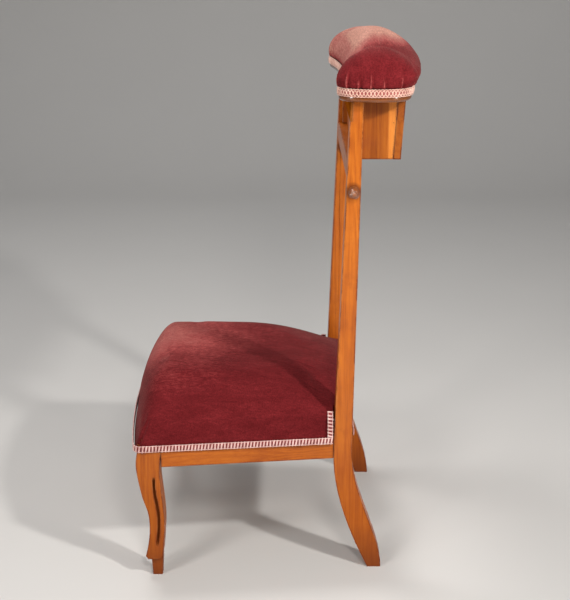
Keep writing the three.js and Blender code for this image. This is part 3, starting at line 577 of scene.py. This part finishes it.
class Trim:
    """Tape, cords and loops of one braid, gathered into one mesh."""

    def __init__(self, line, out, across, closed, width):
        self.line, self.out, self.across, self.closed = line, out, across, closed
        self.half = width / 2
        steps = np.linalg.norm(np.diff(line, axis=0), axis=1)
        self.run = np.concatenate([[0.0], np.cumsum(steps)])
        self.length = self.run[-1] + (np.linalg.norm(line[0] - line[-1]) if closed else 0.0)
        self.points, self.faces, self.looks = [], [], []

    def gather(self, part, look):
        base = sum(len(block) for block in self.points)
        self.points.append(part[0])
        self.faces.extend(tuple(base + index for index in face) for face in part[1])
        self.looks.extend([look] * len(part[1]))

    def tape(self):
        section = [(-0.86, 0.05), (0.86, 0.05), (0.86, 0.75), (-0.86, 0.75)]
        corners = [self.line + self.across * (self.half * w) + self.out * (h * MM) for w, h in section]
        walls, count = [], len(self.line)
        for i in range(count if self.closed else count - 1):
            walls += ring_faces(i * 4, (i + 1) % count * 4, 4)
        if not self.closed:
            walls += [(3, 2, 1, 0), tuple((count - 1) * 4 + k for k in range(4))]
        self.gather((np.stack(corners, axis=1).reshape(-1, 3), walls), 1)

    def cord(self, swing, rise, radius):
        route = self.line + self.across * swing[:, None] + self.out * rise[:, None]
        self.gather(sweep(route, self.out, radius, CORD_SIDES, self.closed), 0)

    def gimp(self):
        """Two cords that cross each other between scalloped edge cords."""
        waves = max(2, 2 * round(self.length / BRAID_PITCH / 2))
        phase = self.run / self.length * waves * math.pi
        level = np.full(len(self.line), 0.8 * MM)
        for edge in (-1.0, 1.0):
            wander = (self.half - CORD_RADIUS) + 0.35 * MM * np.sin(2 * phase)
            self.cord(edge * wander, level, CORD_RADIUS * 0.8)
        for turn in (0.0, math.pi):
            swing = (self.half - 2.4 * MM) * np.sin(phase + turn)
            self.cord(swing, 1.05 * MM + 0.45 * MM * np.cos(2 * phase + turn), CORD_RADIUS)

    def ladder(self):
        """Upright loops of cord side by side, with a thin cord along each edge."""
        level = np.full(len(self.line), 0.9 * MM)
        for edge in (-1.0, 1.0):
            self.cord(np.full(len(self.line), edge * (self.half - 1.5 * MM)), level, 0.55 * MM)
        count = max(3, round(self.length / BRAID_PITCH))
        turn = np.linspace(0.0, 2 * math.pi, LOOP_POINTS, endpoint=False)
        rng = np.random.default_rng(count)
        for number in range(count):
            place = (number + 0.5) / count * self.length
            middle, across, out = (
                np.array([np.interp(place, self.run, values[:, axis]) for axis in range(3)])
                for values in (self.line, self.across, self.out))
            along = np.cross(across, out)
            tall = (self.half - 0.75 * MM) * rng.uniform(0.93, 1.04)
            slant = rng.uniform(0.05, 0.22)
            lift = np.sign(np.sin(turn)) * np.abs(np.sin(turn)) ** 0.7 * tall
            side = np.cos(turn) * LOOP_HALF + lift * slant
            bulge = 1.25 * MM + 0.25 * MM * np.cos(turn * 2)
            ring = middle + np.outer(lift, across) + np.outer(side, along) + np.outer(bulge, out)
            outs = np.tile(out, (len(ring), 1))
            self.gather(sweep(ring, outs, LOOP_CORD_RADIUS, LOOP_CORD_SIDES, True), 0)


def braid(name, trim, pattern, looks, body, nodes):
    """A woven trim as one piece that rides on a body and stands for its CAD strips."""
    trim.tape()
    pattern(trim)
    piece = new_piece(name, np.vstack(trim.points), trim.faces, looks[0])
    piece.data.materials.append(looks[1])
    piece.data.polygons.foreach_set("material_index", trim.looks)
    outward(piece)
    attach(piece, body)
    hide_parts(*nodes)


BRAID_STEP = BRAID_PITCH / 5


def upright_trim(outline, bottom, closed):
    """The course of a braid that stands on edge round a plan outline given as (x, y) points."""
    plan = evenly(outline, BRAID_STEP, closed)
    ahead = headings(plan, closed)
    out = np.stack([ahead[:, 1], -ahead[:, 0], np.zeros(len(plan))], axis=1)
    line = np.column_stack([plan, np.full(len(plan), bottom + BRAID_WIDTH / 2)])
    across = np.tile([0.0, 0.0, 1.0], (len(plan), 1))
    return Trim(line, out, across, closed, BRAID_WIDTH)


# ---- Seat ----
SEAT_SLOPE = (COVER_HALF_FRONT - COVER_HALF_REAR) / (POST_FRONT - COVER_CORNER_Y)


def seat_outline(grow, rear):
    """Plan of the seat cover from the left post round the front to the right post."""
    half, corner, turn = COVER_HALF_FRONT + grow, COVER_CORNER_Y - grow, COVER_CORNER_RADIUS
    half_rear = COVER_HALF_REAR + grow - SEAT_SLOPE * (rear - POST_FRONT)
    shy = 2.0 * MM
    left_side, left_turn = (-half + SEAT_SLOPE * turn, corner + turn), (-half + turn, corner - shy)
    right_turn, right_side = (half - turn, corner - shy), (half - SEAT_SLOPE * turn, corner + turn)
    return np.vstack([
        np.linspace((-half_rear, rear), left_side, 60, endpoint=False),
        quadratic(left_side, (-half, corner), left_turn, 10),
        quadratic(left_turn, (0.0, corner - 2 * COVER_BOW + shy), right_turn, 90),
        quadratic(right_turn, (half, corner), right_side, 10),
        np.linspace(right_side, (half_rear, rear), 60),
    ])


SEAT_LEAN = 10.0 * MM  # the sides of the cushion lean in by this much between the braid and the shoulder
SEAT_SHOULDER = 282.0 * MM
SEAT_RISE = 51.0 * MM  # from the shoulder to the crown
FRONT_ROUNDING = 31.0 * MM  # reach of the rounding behind the front edge
SETTLE_FROM = -60.0 * MM  # behind this the top falls towards the posts
NOTCH_GAP = 1.2 * MM  # between the cushion and a post
FRONT_ROWS = 64
REAR_ROWS = 8
WALL_ROWS = 14
MIDDLE_COLUMNS = 71  # between the notches for the posts
SIDE_COLUMNS = 7  # on each side, in front of a post


def seat_half(y, lean):
    return COVER_HALF_FRONT - lean - SEAT_SLOPE * (y - COVER_CORNER_Y)


def seat_front(u, lean):
    """Front edge of the plan: bowed forward in the middle, and pulled back a little more at the corners."""
    return COVER_CORNER_Y + lean * (0.85 + 1.05 * u * u) - COVER_BOW * (1 - u * u)


def seat_height(x, y):
    """Height of the crowned top over a point of the plan."""
    across = np.clip(np.abs(x) / seat_half(y, SEAT_LEAN), 0.0, 1.0)
    front = seat_front(np.clip(x / COVER_HALF_FRONT, -1.0, 1.0), SEAT_LEAN)
    from_front = np.clip((y - front) / FRONT_ROUNDING, 0.0, 1.0)
    rounding = (1 - (1 - from_front) ** 2.0) ** 0.80
    to_rear = np.clip((y - SETTLE_FROM) / (COVER_REAR - SETTLE_FROM), 0.0, 1.0)
    settle = 1 - 0.66 * to_rear ** 2.2
    fullness = 5.6 - 5.0 * to_rear ** 2.2  # the higher, the flatter the top and the steeper its sides
    return SEAT_SHOULDER + SEAT_RISE * (1 - across ** fullness) * rounding * settle


def round_corner(x, y, half, front, reach):
    """Moves a point of the plan inwards near the front corners, so that they are round."""
    over = np.clip((np.abs(x) - (half - reach)) / reach, 0.0, 1.0)
    ahead = np.clip(((front + reach) - y) / reach, 0.0, 1.0)
    x = x - np.sign(x) * over * (1 - np.sqrt(1 - ahead ** 2 / 2)) * reach
    y = y + ahead * (1 - np.sqrt(1 - over ** 2 / 2)) * reach
    return x, y


def front_place(row, u, lean, corner):
    """Plan of a point in the part of the seat in front of the posts."""
    notch_y = POST_FRONT - NOTCH_GAP
    share = row / FRONT_ROWS
    half = seat_half(COVER_CORNER_Y + share * (notch_y - COVER_CORNER_Y), lean)
    front = seat_front(u, lean)
    return round_corner(u * half, front + share * (notch_y - front), half, front, corner)


def seat_top_grid():
    """Top of the cushion, cut out round the posts: its points, faces, and where its rim meets the rails."""
    notch_y = POST_FRONT - NOTCH_GAP
    half_at_notch = seat_half(notch_y, SEAT_LEAN)
    cut = (POST_INNER - NOTCH_GAP) / half_at_notch
    outer = np.linspace(cut, 1.0, SIDE_COLUMNS + 1)[1:]
    columns = np.concatenate([-outer[::-1], np.linspace(-cut, cut, MIDDLE_COLUMNS), outer])
    first, last = SIDE_COLUMNS, SIDE_COLUMNS + MIDDLE_COLUMNS - 1
    last_row = FRONT_ROWS + REAR_ROWS
    points, hems, faces, ids = [], [], [], {}
    for row in range(last_row + 1):
        for column, u in enumerate(columns):
            inside = first <= column <= last
            if row > FRONT_ROWS and not inside:
                continue
            if row <= FRONT_ROWS:
                x, y = front_place(row, u, SEAT_LEAN, 20.0 * MM)
                hem = (*front_place(row, u, 0.0, 12.0 * MM), COVER_BOTTOM)
            else:
                share = (row - FRONT_ROWS) / REAR_ROWS
                x, y = u * half_at_notch, notch_y + share * (COVER_REAR - SEAT_LEAN * 0.6 - notch_y)
                hem = (x, COVER_REAR, COVER_BOTTOM)
            by_post = row >= FRONT_ROWS and row < last_row and not first < column < last and abs(u) < 1.0
            if by_post:
                hem = (x, y, PAD_BOTTOM + 0.3 * MM)
            ids[row, column] = len(points)
            points.append((x, y, float(seat_height(x, y))))
            hems.append(hem)
    for row in range(last_row):
        for column in range(len(columns) - 1):
            corners = [(row, column), (row, column + 1), (row + 1, column + 1), (row + 1, column)]
            if all(corner in ids for corner in corners):
                faces.append(tuple(ids[corner] for corner in corners))
    return np.array(points), np.array(hems), faces


def rim_of(faces):
    """The border of a sheet of faces as one closed loop of point numbers."""
    used = dict.fromkeys(edge for face in faces for edge in zip(face, face[1:] + face[:1]))
    following = {start: end for start, end in used if (end, start) not in used}
    loop = [next(iter(following))]
    while following[loop[-1]] != loop[0]:
        loop.append(following[loop[-1]])
    return loop


def seat_shell():
    """The closed cushion before it is inflated: crowned top, leaning sides, and a hem that hugs the rails."""
    points, hems, faces = seat_top_grid()
    loop = rim_of(faces)
    rim, hem = points[loop], hems[loop]
    ahead = headings(hem[:, :2], True)
    inward = np.column_stack([-ahead[:, 1], ahead[:, 0]])
    rings = [rim + (hem - rim) * (step / WALL_ROWS) for step in range(1, WALL_ROWS + 1)]
    turned = np.column_stack([inward * 2.4 * MM, np.zeros(len(hem))])
    rings.append(hem + turned)
    roof = rim + (hem - rim) * 0.36 + turned
    roof[:, 2] = PAD_BOTTOM + 0.6 * MM
    rings.append(roof)
    previous, total = loop, len(points)
    for _ in rings:
        numbers = list(range(total, total + len(loop)))
        total += len(loop)
        for i in range(len(loop)):
            j = (i + 1) % len(loop)
            faces.append((previous[i], numbers[i], numbers[j], previous[j]))
        previous = numbers
    faces.append(tuple(previous[::-1]))
    return np.vstack([points, *rings]), faces


def even_out(piece, move, rounds):
    """Averages a shift of the points with that of their neighbours, so that no stray wrinkle is left."""
    edges = np.array([edge.vertices[:] for edge in piece.data.edges])
    degree = np.bincount(edges.ravel(), minlength=len(move))[:, None]
    for _ in range(rounds):
        total = np.zeros_like(move)
        np.add.at(total, edges[:, 0], move[edges[:, 1]])
        np.add.at(total, edges[:, 1], move[edges[:, 0]])
        move = (move + total / np.maximum(degree, 1)) / 2
    return move


CLOTH_FRAMES = 20
SMOOTHING_ROUNDS = 8


def inflate(piece, pinned, pressure, cap, stiffness):
    """Swells a closed piece with a short cloth simulation and keeps every point within cap of its start.
    pinned is the weight that holds each point in place."""
    scene = bpy.context.scene
    start = places_of(piece)
    group = piece.vertex_groups.new(name="pinned")
    for index, weight in enumerate(pinned):
        if weight > 0.0:
            group.add([index], float(weight), "REPLACE")
    cloth = piece.modifiers.new("cloth", "CLOTH")
    settings = cloth.settings
    settings.vertex_group_mass = "pinned"
    settings.quality = 5
    settings.mass = 0.05
    settings.tension_stiffness = stiffness
    settings.compression_stiffness = stiffness
    settings.shear_stiffness = stiffness / 2
    settings.bending_stiffness = 0.6
    settings.use_pressure = True
    settings.uniform_pressure_force = pressure
    settings.effector_weights.gravity = 0.0
    cloth.collision_settings.use_collision = False
    cloth.collision_settings.use_self_collision = False
    cloth.point_cache.frame_start = 1
    cloth.point_cache.frame_end = CLOTH_FRAMES
    for number in range(1, CLOTH_FRAMES + 1):
        scene.frame_set(number)
    seen = piece.evaluated_get(bpy.context.evaluated_depsgraph_get())
    swollen = vectors(seen.data.vertices, "co")
    piece.modifiers.remove(cloth)
    scene.frame_set(1)
    move = even_out(piece, swollen - start, SMOOTHING_ROUNDS)
    length = np.linalg.norm(move, axis=1)[:, None]
    move *= np.minimum(1.0, cap / np.maximum(length, 1e-9))
    shift(piece, move)
    piece.vertex_groups.remove(group)


def paint_wear_and_light(piece, amount):
    layer = piece.data.attributes.new("worn", "FLOAT", "POINT")
    layer.data.foreach_set("value", np.clip(amount, 0.0, 1.0).astype(np.float32))


def finer(piece, levels):
    """Subdivides the piece for good, so that fine folds can be pushed into it."""
    modifier = piece.modifiers.new("finer", "SUBSURF")
    modifier.levels = levels
    modifier.render_levels = levels
    graph = bpy.context.evaluated_depsgraph_get()
    mesh = bpy.data.meshes.new_from_object(piece.evaluated_get(graph))
    piece.modifiers.remove(modifier)
    piece.data = mesh


def corner_pleats(places):
    """Depth of the folded dart that gathers the velvet at each front corner."""
    foot = np.array([COVER_CORNER_Y + 7.0 * MM, COVER_BOTTOM + BRAID_WIDTH])
    head = np.array([COVER_CORNER_Y + 25.0 * MM, 0.290])
    length = np.linalg.norm(head - foot)
    along = (head - foot) / length
    flat = places[:, 1:] - foot
    run = flat @ along
    off = flat @ np.array([along[1], -along[0]])
    on_side = smooth_step(np.abs(places[:, 0]), 0.212, 0.222)
    window = smooth_step(run, -6.0 * MM, 4.0 * MM) * (1 - smooth_step(run, 0.55 * length, 1.15 * length))
    groove = -3.0 * MM * np.exp(-(off / (2.0 * MM)) ** 2)
    lip = 2.2 * MM * np.exp(-((off - 5.0 * MM) / (3.4 * MM)) ** 2)
    return window * on_side * (groove + lip)


def seat_wear_and_light(places):
    """Paler on the top, most towards the front edge and on the far half, and along the front of the hem: real
    rubbing along the front, and painted light for the lit crown on the top and the far half; least on the
    sides.
    """
    x, y, z = places.T
    front_edge = 1 - smooth_step(y, COVER_CORNER_Y + 40 * MM, COVER_CORNER_Y + 250 * MM)
    far_half = 1 - smooth_step(x, -0.06, 0.19)
    top = smooth_step(z, 0.292, 0.322)
    hem_edge = 1 - smooth_step(y, COVER_CORNER_Y - 6 * MM, COVER_CORNER_Y + 8 * MM)
    front = hem_edge * smooth_step(z, 0.255, 0.29)
    return (0.12 + 0.34 * far_half) * (0.25 + 0.75 * front_edge) * top + 0.24 * front


def make_seat_cushion():
    points, faces = seat_shell()
    piece = new_piece("seat_cushion", points, faces, SEAT_VELVET)
    outward(piece, split_caps=True)
    places = places_of(piece)
    held = 1 - smooth_step(places[:, 2], 0.256, 0.276)
    near_post = (np.abs(places[:, 0]) > POST_INNER - 8 * MM) & (places[:, 1] > POST_FRONT - 8 * MM)
    inflate(piece, np.where(near_post, 1.0, held), 5.0, 4.0 * MM, 14.0)
    finer(piece, 1)
    shift(piece, normals_of(piece) * corner_pleats(places_of(piece))[:, None])
    paint_wear_and_light(piece, seat_wear_and_light(places_of(piece)))
    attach(piece, "root")
    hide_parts("seat_pad", "seat_cover_skirt", "seat_cover_rear_skirt")


make_seat_cushion()

SEAT_BRAID_OUT = 0.5 * MM
LADDER_LOOKS = (PALE_CORD, RED_TAPE)
front_course = seat_outline(SEAT_BRAID_OUT, POST_FRONT - 1.5 * MM)
rear_reach = POST_INNER - 2.0 * MM
rear_course = np.array([(rear_reach, COVER_REAR), (-rear_reach, COVER_REAR)])
braid("seat_braid_front", upright_trim(front_course, COVER_BOTTOM, False), Trim.ladder, LADDER_LOOKS, "root",
      ["seat_braid"])
braid("seat_braid_rear", upright_trim(rear_course, COVER_BOTTOM, False), Trim.ladder, LADDER_LOOKS, "root",
      ["seat_rear_braid"])

POST_STRIP_WIDTH = 10.4 * MM


def post_braid(name, side):
    """The short strip that hides the raw edge of the velvet in front of a post and curls in over its top."""
    rise = np.linspace(COVER_BOTTOM + BRAID_WIDTH * 0.95, SEAT_SHOULDER - 3.0 * MM, 40)
    share = (rise - rise[0]) / (rise[-1] - rise[0])
    x = side * (COVER_HALF_REAR + 1.6 * MM - SEAT_LEAN * 0.8 * share ** 2.0)
    y = np.full(len(rise), POST_FRONT - 1.0 * MM - POST_STRIP_WIDTH / 2)
    upright = np.column_stack([x, y, rise])
    curl_radius = 6.0 * MM
    curl_angle = np.linspace(0.1, 1.7, 12)
    curl = np.column_stack([
        x[-1] - side * curl_radius * (1 - np.cos(curl_angle)),
        np.full(len(curl_angle), y[0]),
        rise[-1] + curl_radius * np.sin(curl_angle),
    ])
    line = evenly(np.vstack([upright, curl]), BRAID_STEP, False)
    ahead = np.gradient(line, axis=0)
    across = np.tile([0.0, 1.0, 0.0], (len(line), 1))
    out = np.cross(ahead, across) * -side
    out /= np.linalg.norm(out, axis=1)[:, None]
    trim = Trim(line, out, across, False, POST_STRIP_WIDTH)
    braid(f"{name}_strip", trim, Trim.ladder, LADDER_LOOKS, "root", [name])


post_braid("left_post_braid", -1)
post_braid("right_post_braid", 1)


# ---- Armrest cushion and braid ----
def arm_outline(grow, dense=1):
    """Kidney-shaped plan of the armrest, anticlockwise from the left end of its front edge."""
    straight, tip = ARM_HALF - ARM_END_RADIUS, ARM_HALF + grow
    front_end = ARM_FRONT_MIDDLE - grow - ARM_FRONT_BOW
    rear_end = ARM_REAR_MIDDLE + grow - ARM_REAR_BOW
    tip_y = (front_end + rear_end) / 2
    reach, rise = 0.64 * (tip - straight), 0.64 * (tip_y - front_end)
    front_slope = 2 * ARM_FRONT_BOW * reach / straight
    rear_slope = 2 * ARM_REAR_BOW * reach / straight
    right = [
        (straight, front_end), (straight + reach, front_end - front_slope), (tip, tip_y - rise), (tip, tip_y),
        (tip, tip_y + rise), (straight + reach, rear_end - rear_slope), (straight, rear_end),
    ]
    left = [(-x, y) for x, y in reversed(right)]
    right_end, left_end = (np.vstack([cubic(*end[:4], 18 * dense), cubic(*end[3:], 18 * dense)])
                           for end in (right, left))
    front_pull, rear_pull = (0.0, front_end + 2 * ARM_FRONT_BOW), (0.0, rear_end + 2 * ARM_REAR_BOW)
    front = quadratic((-straight, front_end), front_pull, (straight, front_end), 80 * dense)
    rear = quadratic((straight, rear_end), rear_pull, (-straight, rear_end), 80 * dense)
    return np.vstack([front, right_end, rear, left_end])


ARM_RISE_MIDDLE = 65.8 * MM
ARM_RISE_END = 54.0 * MM
ARM_SPINE_HALF = 150.0 * MM
ARM_RINGS = 23
ARM_TUCK = 0.42  # how far the sides turn in below their widest line, in radians, at the ends
ARM_TUCK_REAR = 0.22  # added at the rear
ARM_TUCK_FRONT = 0.26  # taken off at the front
ARM_REAR_SLOPE = 0.42  # share by which the top falls in towards the spine at the rear


def arm_spine(x):
    """The middle line of the cushion, which bows the same way as its two edges."""
    middle = (ARM_FRONT_MIDDLE + ARM_REAR_MIDDLE) / 2
    bow = (ARM_FRONT_BOW + ARM_REAR_BOW) / 2
    return middle - bow * (x / (ARM_HALF - ARM_END_RADIUS)) ** 2


def arm_shell():
    """Closed domed form that swells out over its foot, and slopes in above it most at the rear."""
    outline = evenly(arm_outline(1.2 * MM), 5.0 * MM, True)
    spine_x = np.clip(outline[:, 0], -ARM_SPINE_HALF, ARM_SPINE_HALF)
    spine = np.column_stack([spine_x, arm_spine(spine_x)])
    reach = outline - spine
    facing = reach[:, 1] / np.linalg.norm(reach, axis=1)
    tuck = ARM_TUCK + np.where(facing > 0, ARM_TUCK_REAR, ARM_TUCK_FRONT) * facing
    rise = ARM_RISE_MIDDLE + (ARM_RISE_END - ARM_RISE_MIDDLE) * (spine_x / ARM_SPINE_HALF) ** 2
    base = ARM_TOP + 0.4 * MM
    layers, faces = [], []
    for step in range(ARM_RINGS):
        share = step / ARM_RINGS
        angle = -tuck + (math.pi / 2 + tuck) * share
        slope = 1 - ARM_REAR_SLOPE * np.clip(facing, 0.0, 1.0) * np.clip(np.sin(angle), 0.0, 1.0)
        wide = (np.cos(angle) / np.cos(tuck)) ** 0.95 * slope
        high = (np.sin(angle) + np.sin(tuck)) / (1 + np.sin(tuck))
        plan = spine + reach * wide[:, None]
        layers.append(np.column_stack([plan, base + rise * high]))
    count = len(outline)
    for step in range(ARM_RINGS - 1):
        faces += ring_faces(step * count, (step + 1) * count, count)
    faces.append(tuple(range(count))[::-1])
    faces.append(tuple((ARM_RINGS - 1) * count + i for i in range(count)))
    return np.vstack(layers), faces


GATHER_STEP = 0.8 * MM
CHUNK = 4000  # points measured at a time, to save memory


def gathers(places):
    """Depth, and rubbed ridges, of the small upright folds where the velvet is gathered above the braid."""
    rng = np.random.default_rng(7)
    outline = evenly(arm_outline(0.0, 2), GATHER_STEP, True)
    nearest = np.empty(len(places), int)
    for start in range(0, len(places), CHUNK):
        part = places[start:start + CHUNK, None, :2] - outline[None]
        nearest[start:start + CHUNK] = np.argmin((part ** 2).sum(axis=2), axis=1)
    run = nearest * GATHER_STEP
    total = len(outline) * GATHER_STEP
    height = places[:, 2] - ARM_TOP
    depth, ridges = np.zeros(len(places)), np.zeros(len(places))
    place = 6.0 * MM
    while place < total - 12 * MM:
        tall = rng.uniform(20.0, 36.0) * MM
        deep = rng.uniform(1.5, 2.6) * MM
        lean = rng.uniform(-0.12, 0.12)
        off = run - place - lean * height
        fade = smooth_step(height, -1 * MM, 3 * MM) * (1 - smooth_step(height, 0.40 * tall, tall))
        ridge = np.exp(-(off / (1.4 * MM)) ** 2) * fade
        hollow = np.exp(-((off - 3.3 * MM) / (2.1 * MM)) ** 2) * fade
        depth += deep * (0.65 * ridge - hollow)
        ridges += ridge
        place += rng.uniform(17.0, 26.0) * MM
    x_end = smooth_step(np.abs(places[:, 0]), 0.12, 0.19)
    at_rear = smooth_step(places[:, 1], 0.17, 0.21)
    share = np.clip(0.30 + 0.70 * x_end + 0.35 * at_rear, 0.0, 1.0)
    return depth * share, ridges * share


def arm_wear(places, ridges):
    """Rubbed to the ground on top and down the hollow front, less towards the ends, and along the gathers."""
    x, y, z = places.T
    across = (y - arm_spine(x)) / (58.0 * MM)
    near_end = smooth_step(x, 0.01, 0.16)
    far_end = 1 - smooth_step(x, -0.215, -0.18)
    top = smooth_step(z, ARM_TOP + 38 * MM, ARM_TOP + 64 * MM) * (1 - 0.74 * near_end)
    front = smooth_step(-across, 0.20, 0.80) * smooth_step(z, ARM_TOP - 4 * MM, ARM_TOP + 18 * MM)
    return top + (0.62 - 0.20 * far_end) * front * (1 - smooth_step(x, 0.13, 0.20)) + 0.42 * ridges


def make_arm_cushion():
    points, faces = arm_shell()
    piece = new_piece("armrest_cushion", points, faces, ARM_VELVET)
    outward(piece, split_caps=True)
    places = places_of(piece)
    held = 1 - smooth_step(places[:, 2], ARM_TOP + 3 * MM, ARM_TOP + 10 * MM)
    inflate(piece, held, 40.0, 3.0 * MM, 8.0)
    finer(piece, 2)
    depth, ridges = gathers(places_of(piece))
    shift(piece, normals_of(piece) * depth[:, None])
    paint_wear_and_light(piece, arm_wear(places_of(piece), ridges))
    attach(piece, "lid")
    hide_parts("armrest_pad")


make_arm_cushion()
braid("armrest_braid_loop", upright_trim(arm_outline(0.5 * MM), ARM_BRAID_BOTTOM, True), Trim.gimp,
      (CORD, TAPE), "lid", ["armrest_braid"])


# ---- Knobs ----
# Radius of the turning, and its distance from the face of the post, in mm.
KNOB_PROFILE = [
    (0.0, -0.5), (8.2, -0.3), (8.7, 0.5), (8.9, 1.6), (8.6, 2.8), (7.6, 3.9), (6.2, 4.8), (5.3, 6.2),
    (5.0, 8.2), (5.3, 10.0), (6.3, 11.6), (7.6, 13.2), (8.3, 15.2), (8.5, 17.2), (8.2, 19.2), (7.4, 21.0),
    (6.2, 22.3), (5.0, 22.9), (4.5, 23.1), (4.3, 23.7), (3.6, 24.8), (2.2, 25.6), (0.0, 25.9),
]
KNOB_SIDES = 48


def make_knob(name, side):
    """A turned knob: a collar against the post, a hollow neck, and a ball with a small button at its tip."""
    low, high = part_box(name)
    middle = (low + high) / 2
    points, faces = [], []
    for radius, away in KNOB_PROFILE:
        for k in range(KNOB_SIDES):
            turn = 2 * math.pi * k / KNOB_SIDES
            points.append((side * (POST_OUTER + away * MM), middle.y + radius * MM * math.cos(turn),
                           middle.z + radius * MM * math.sin(turn)))
    for ring in range(len(KNOB_PROFILE) - 1):
        faces += ring_faces(ring * KNOB_SIDES, (ring + 1) * KNOB_SIDES, KNOB_SIDES)
    piece = new_piece(f"{name}_turned", points, faces, KNOB_WOOD)
    outward(piece, weld=True)
    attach(piece, "root")
    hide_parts(name)


make_knob("left_knob", -1)
make_knob("right_knob", 1)


# ---- Studio: pale floor, plain backdrop and soft lights ----
def plain(name, colour, roughness):
    paint = Paint(name)
    cloud = paint.noise(paint.place, 3.0, 3.0)
    lighter = tuple(min(1.0, channel * 1.04) for channel in colour)
    paint.shade(Base_Color=paint.mix(cloud, colour, lighter), Roughness=roughness, Specular_IOR_Level=0.2)
    return paint.material


def make_floor():
    """Floor and backdrop in one sweep, bent up behind the chair."""
    half_wide, to_camera, to_bend, bend, rise, steps = 30.0, 9.0, 2.6, 1.2, 6.0, 12
    profile = [(to_camera, 0.0), (-to_bend, 0.0)]
    for step in range(1, steps + 1):
        angle = math.pi / 2 * step / steps
        profile.append((-to_bend - bend * math.sin(angle), bend - bend * math.cos(angle)))
    profile.append((-to_bend - bend, rise))
    points = [(x, y, z) for x, z in profile for y in (-half_wide, half_wide)]
    faces = [(2 * i, 2 * i + 1, 2 * i + 3, 2 * i + 2) for i in range(len(profile) - 1)]
    floor = new_piece("studio_floor", points, faces, plain("pale_floor", (0.62, 0.605, 0.585), 0.85))


def make_light(name, place, target, size, power, colour):
    data = bpy.data.lights.new(name, "AREA")
    data.shape = "DISK"
    data.size = size
    data.energy = power
    data.color = colour
    light = bpy.data.objects.new(name, data)
    bpy.context.scene.collection.objects.link(light)
    light.location = place
    light.rotation_euler = (Vector(target) - Vector(place)).to_track_quat("-Z", "Y").to_euler()


def make_world():
    world = bpy.data.worlds.new("studio")
    world.use_nodes = True
    background = world.node_tree.nodes["Background"]
    background.inputs["Color"].default_value = (0.92, 0.95, 1.0, 1.0)
    background.inputs["Strength"].default_value = 0.19
    bpy.context.scene.world = world


make_floor()
make_light("key", (2.25, 0.34, 1.80), (0.0, 0.0, 0.50), 0.40, 19.0, (1.0, 0.97, 0.93))
make_light("left", (1.75, -1.35, 2.0), (0.0, 0.0, 0.4), 0.6, 17.0, (1.0, 0.97, 0.94))
make_light("right", (1.45, 1.35, 1.75), (0.0, 0.0, 0.4), 0.16, 32.0, (1.0, 0.98, 0.95))
make_light("top", (-0.35, -0.55, 2.3), (0.0, -0.1, 0.3), 0.5, 15.0, (1.0, 0.97, 0.95))
make_light("low_left", (1.55, -1.55, 0.50), (0.2, 0.17, 0.78), 0.36, 9.0, (1.0, 0.98, 0.95))
make_light("low_right", (1.65, 1.75, 0.52), (0.2, 0.17, 0.78), 0.36, 9.0, (1.0, 0.98, 0.95))
make_light("back", (-2.2, -0.6, 2.6), (0.0, 0.0, 0.4), 1.2, 10.0, (0.96, 0.98, 1.0))
make_world()
bpy.context.scene.view_settings.view_transform = "Standard"
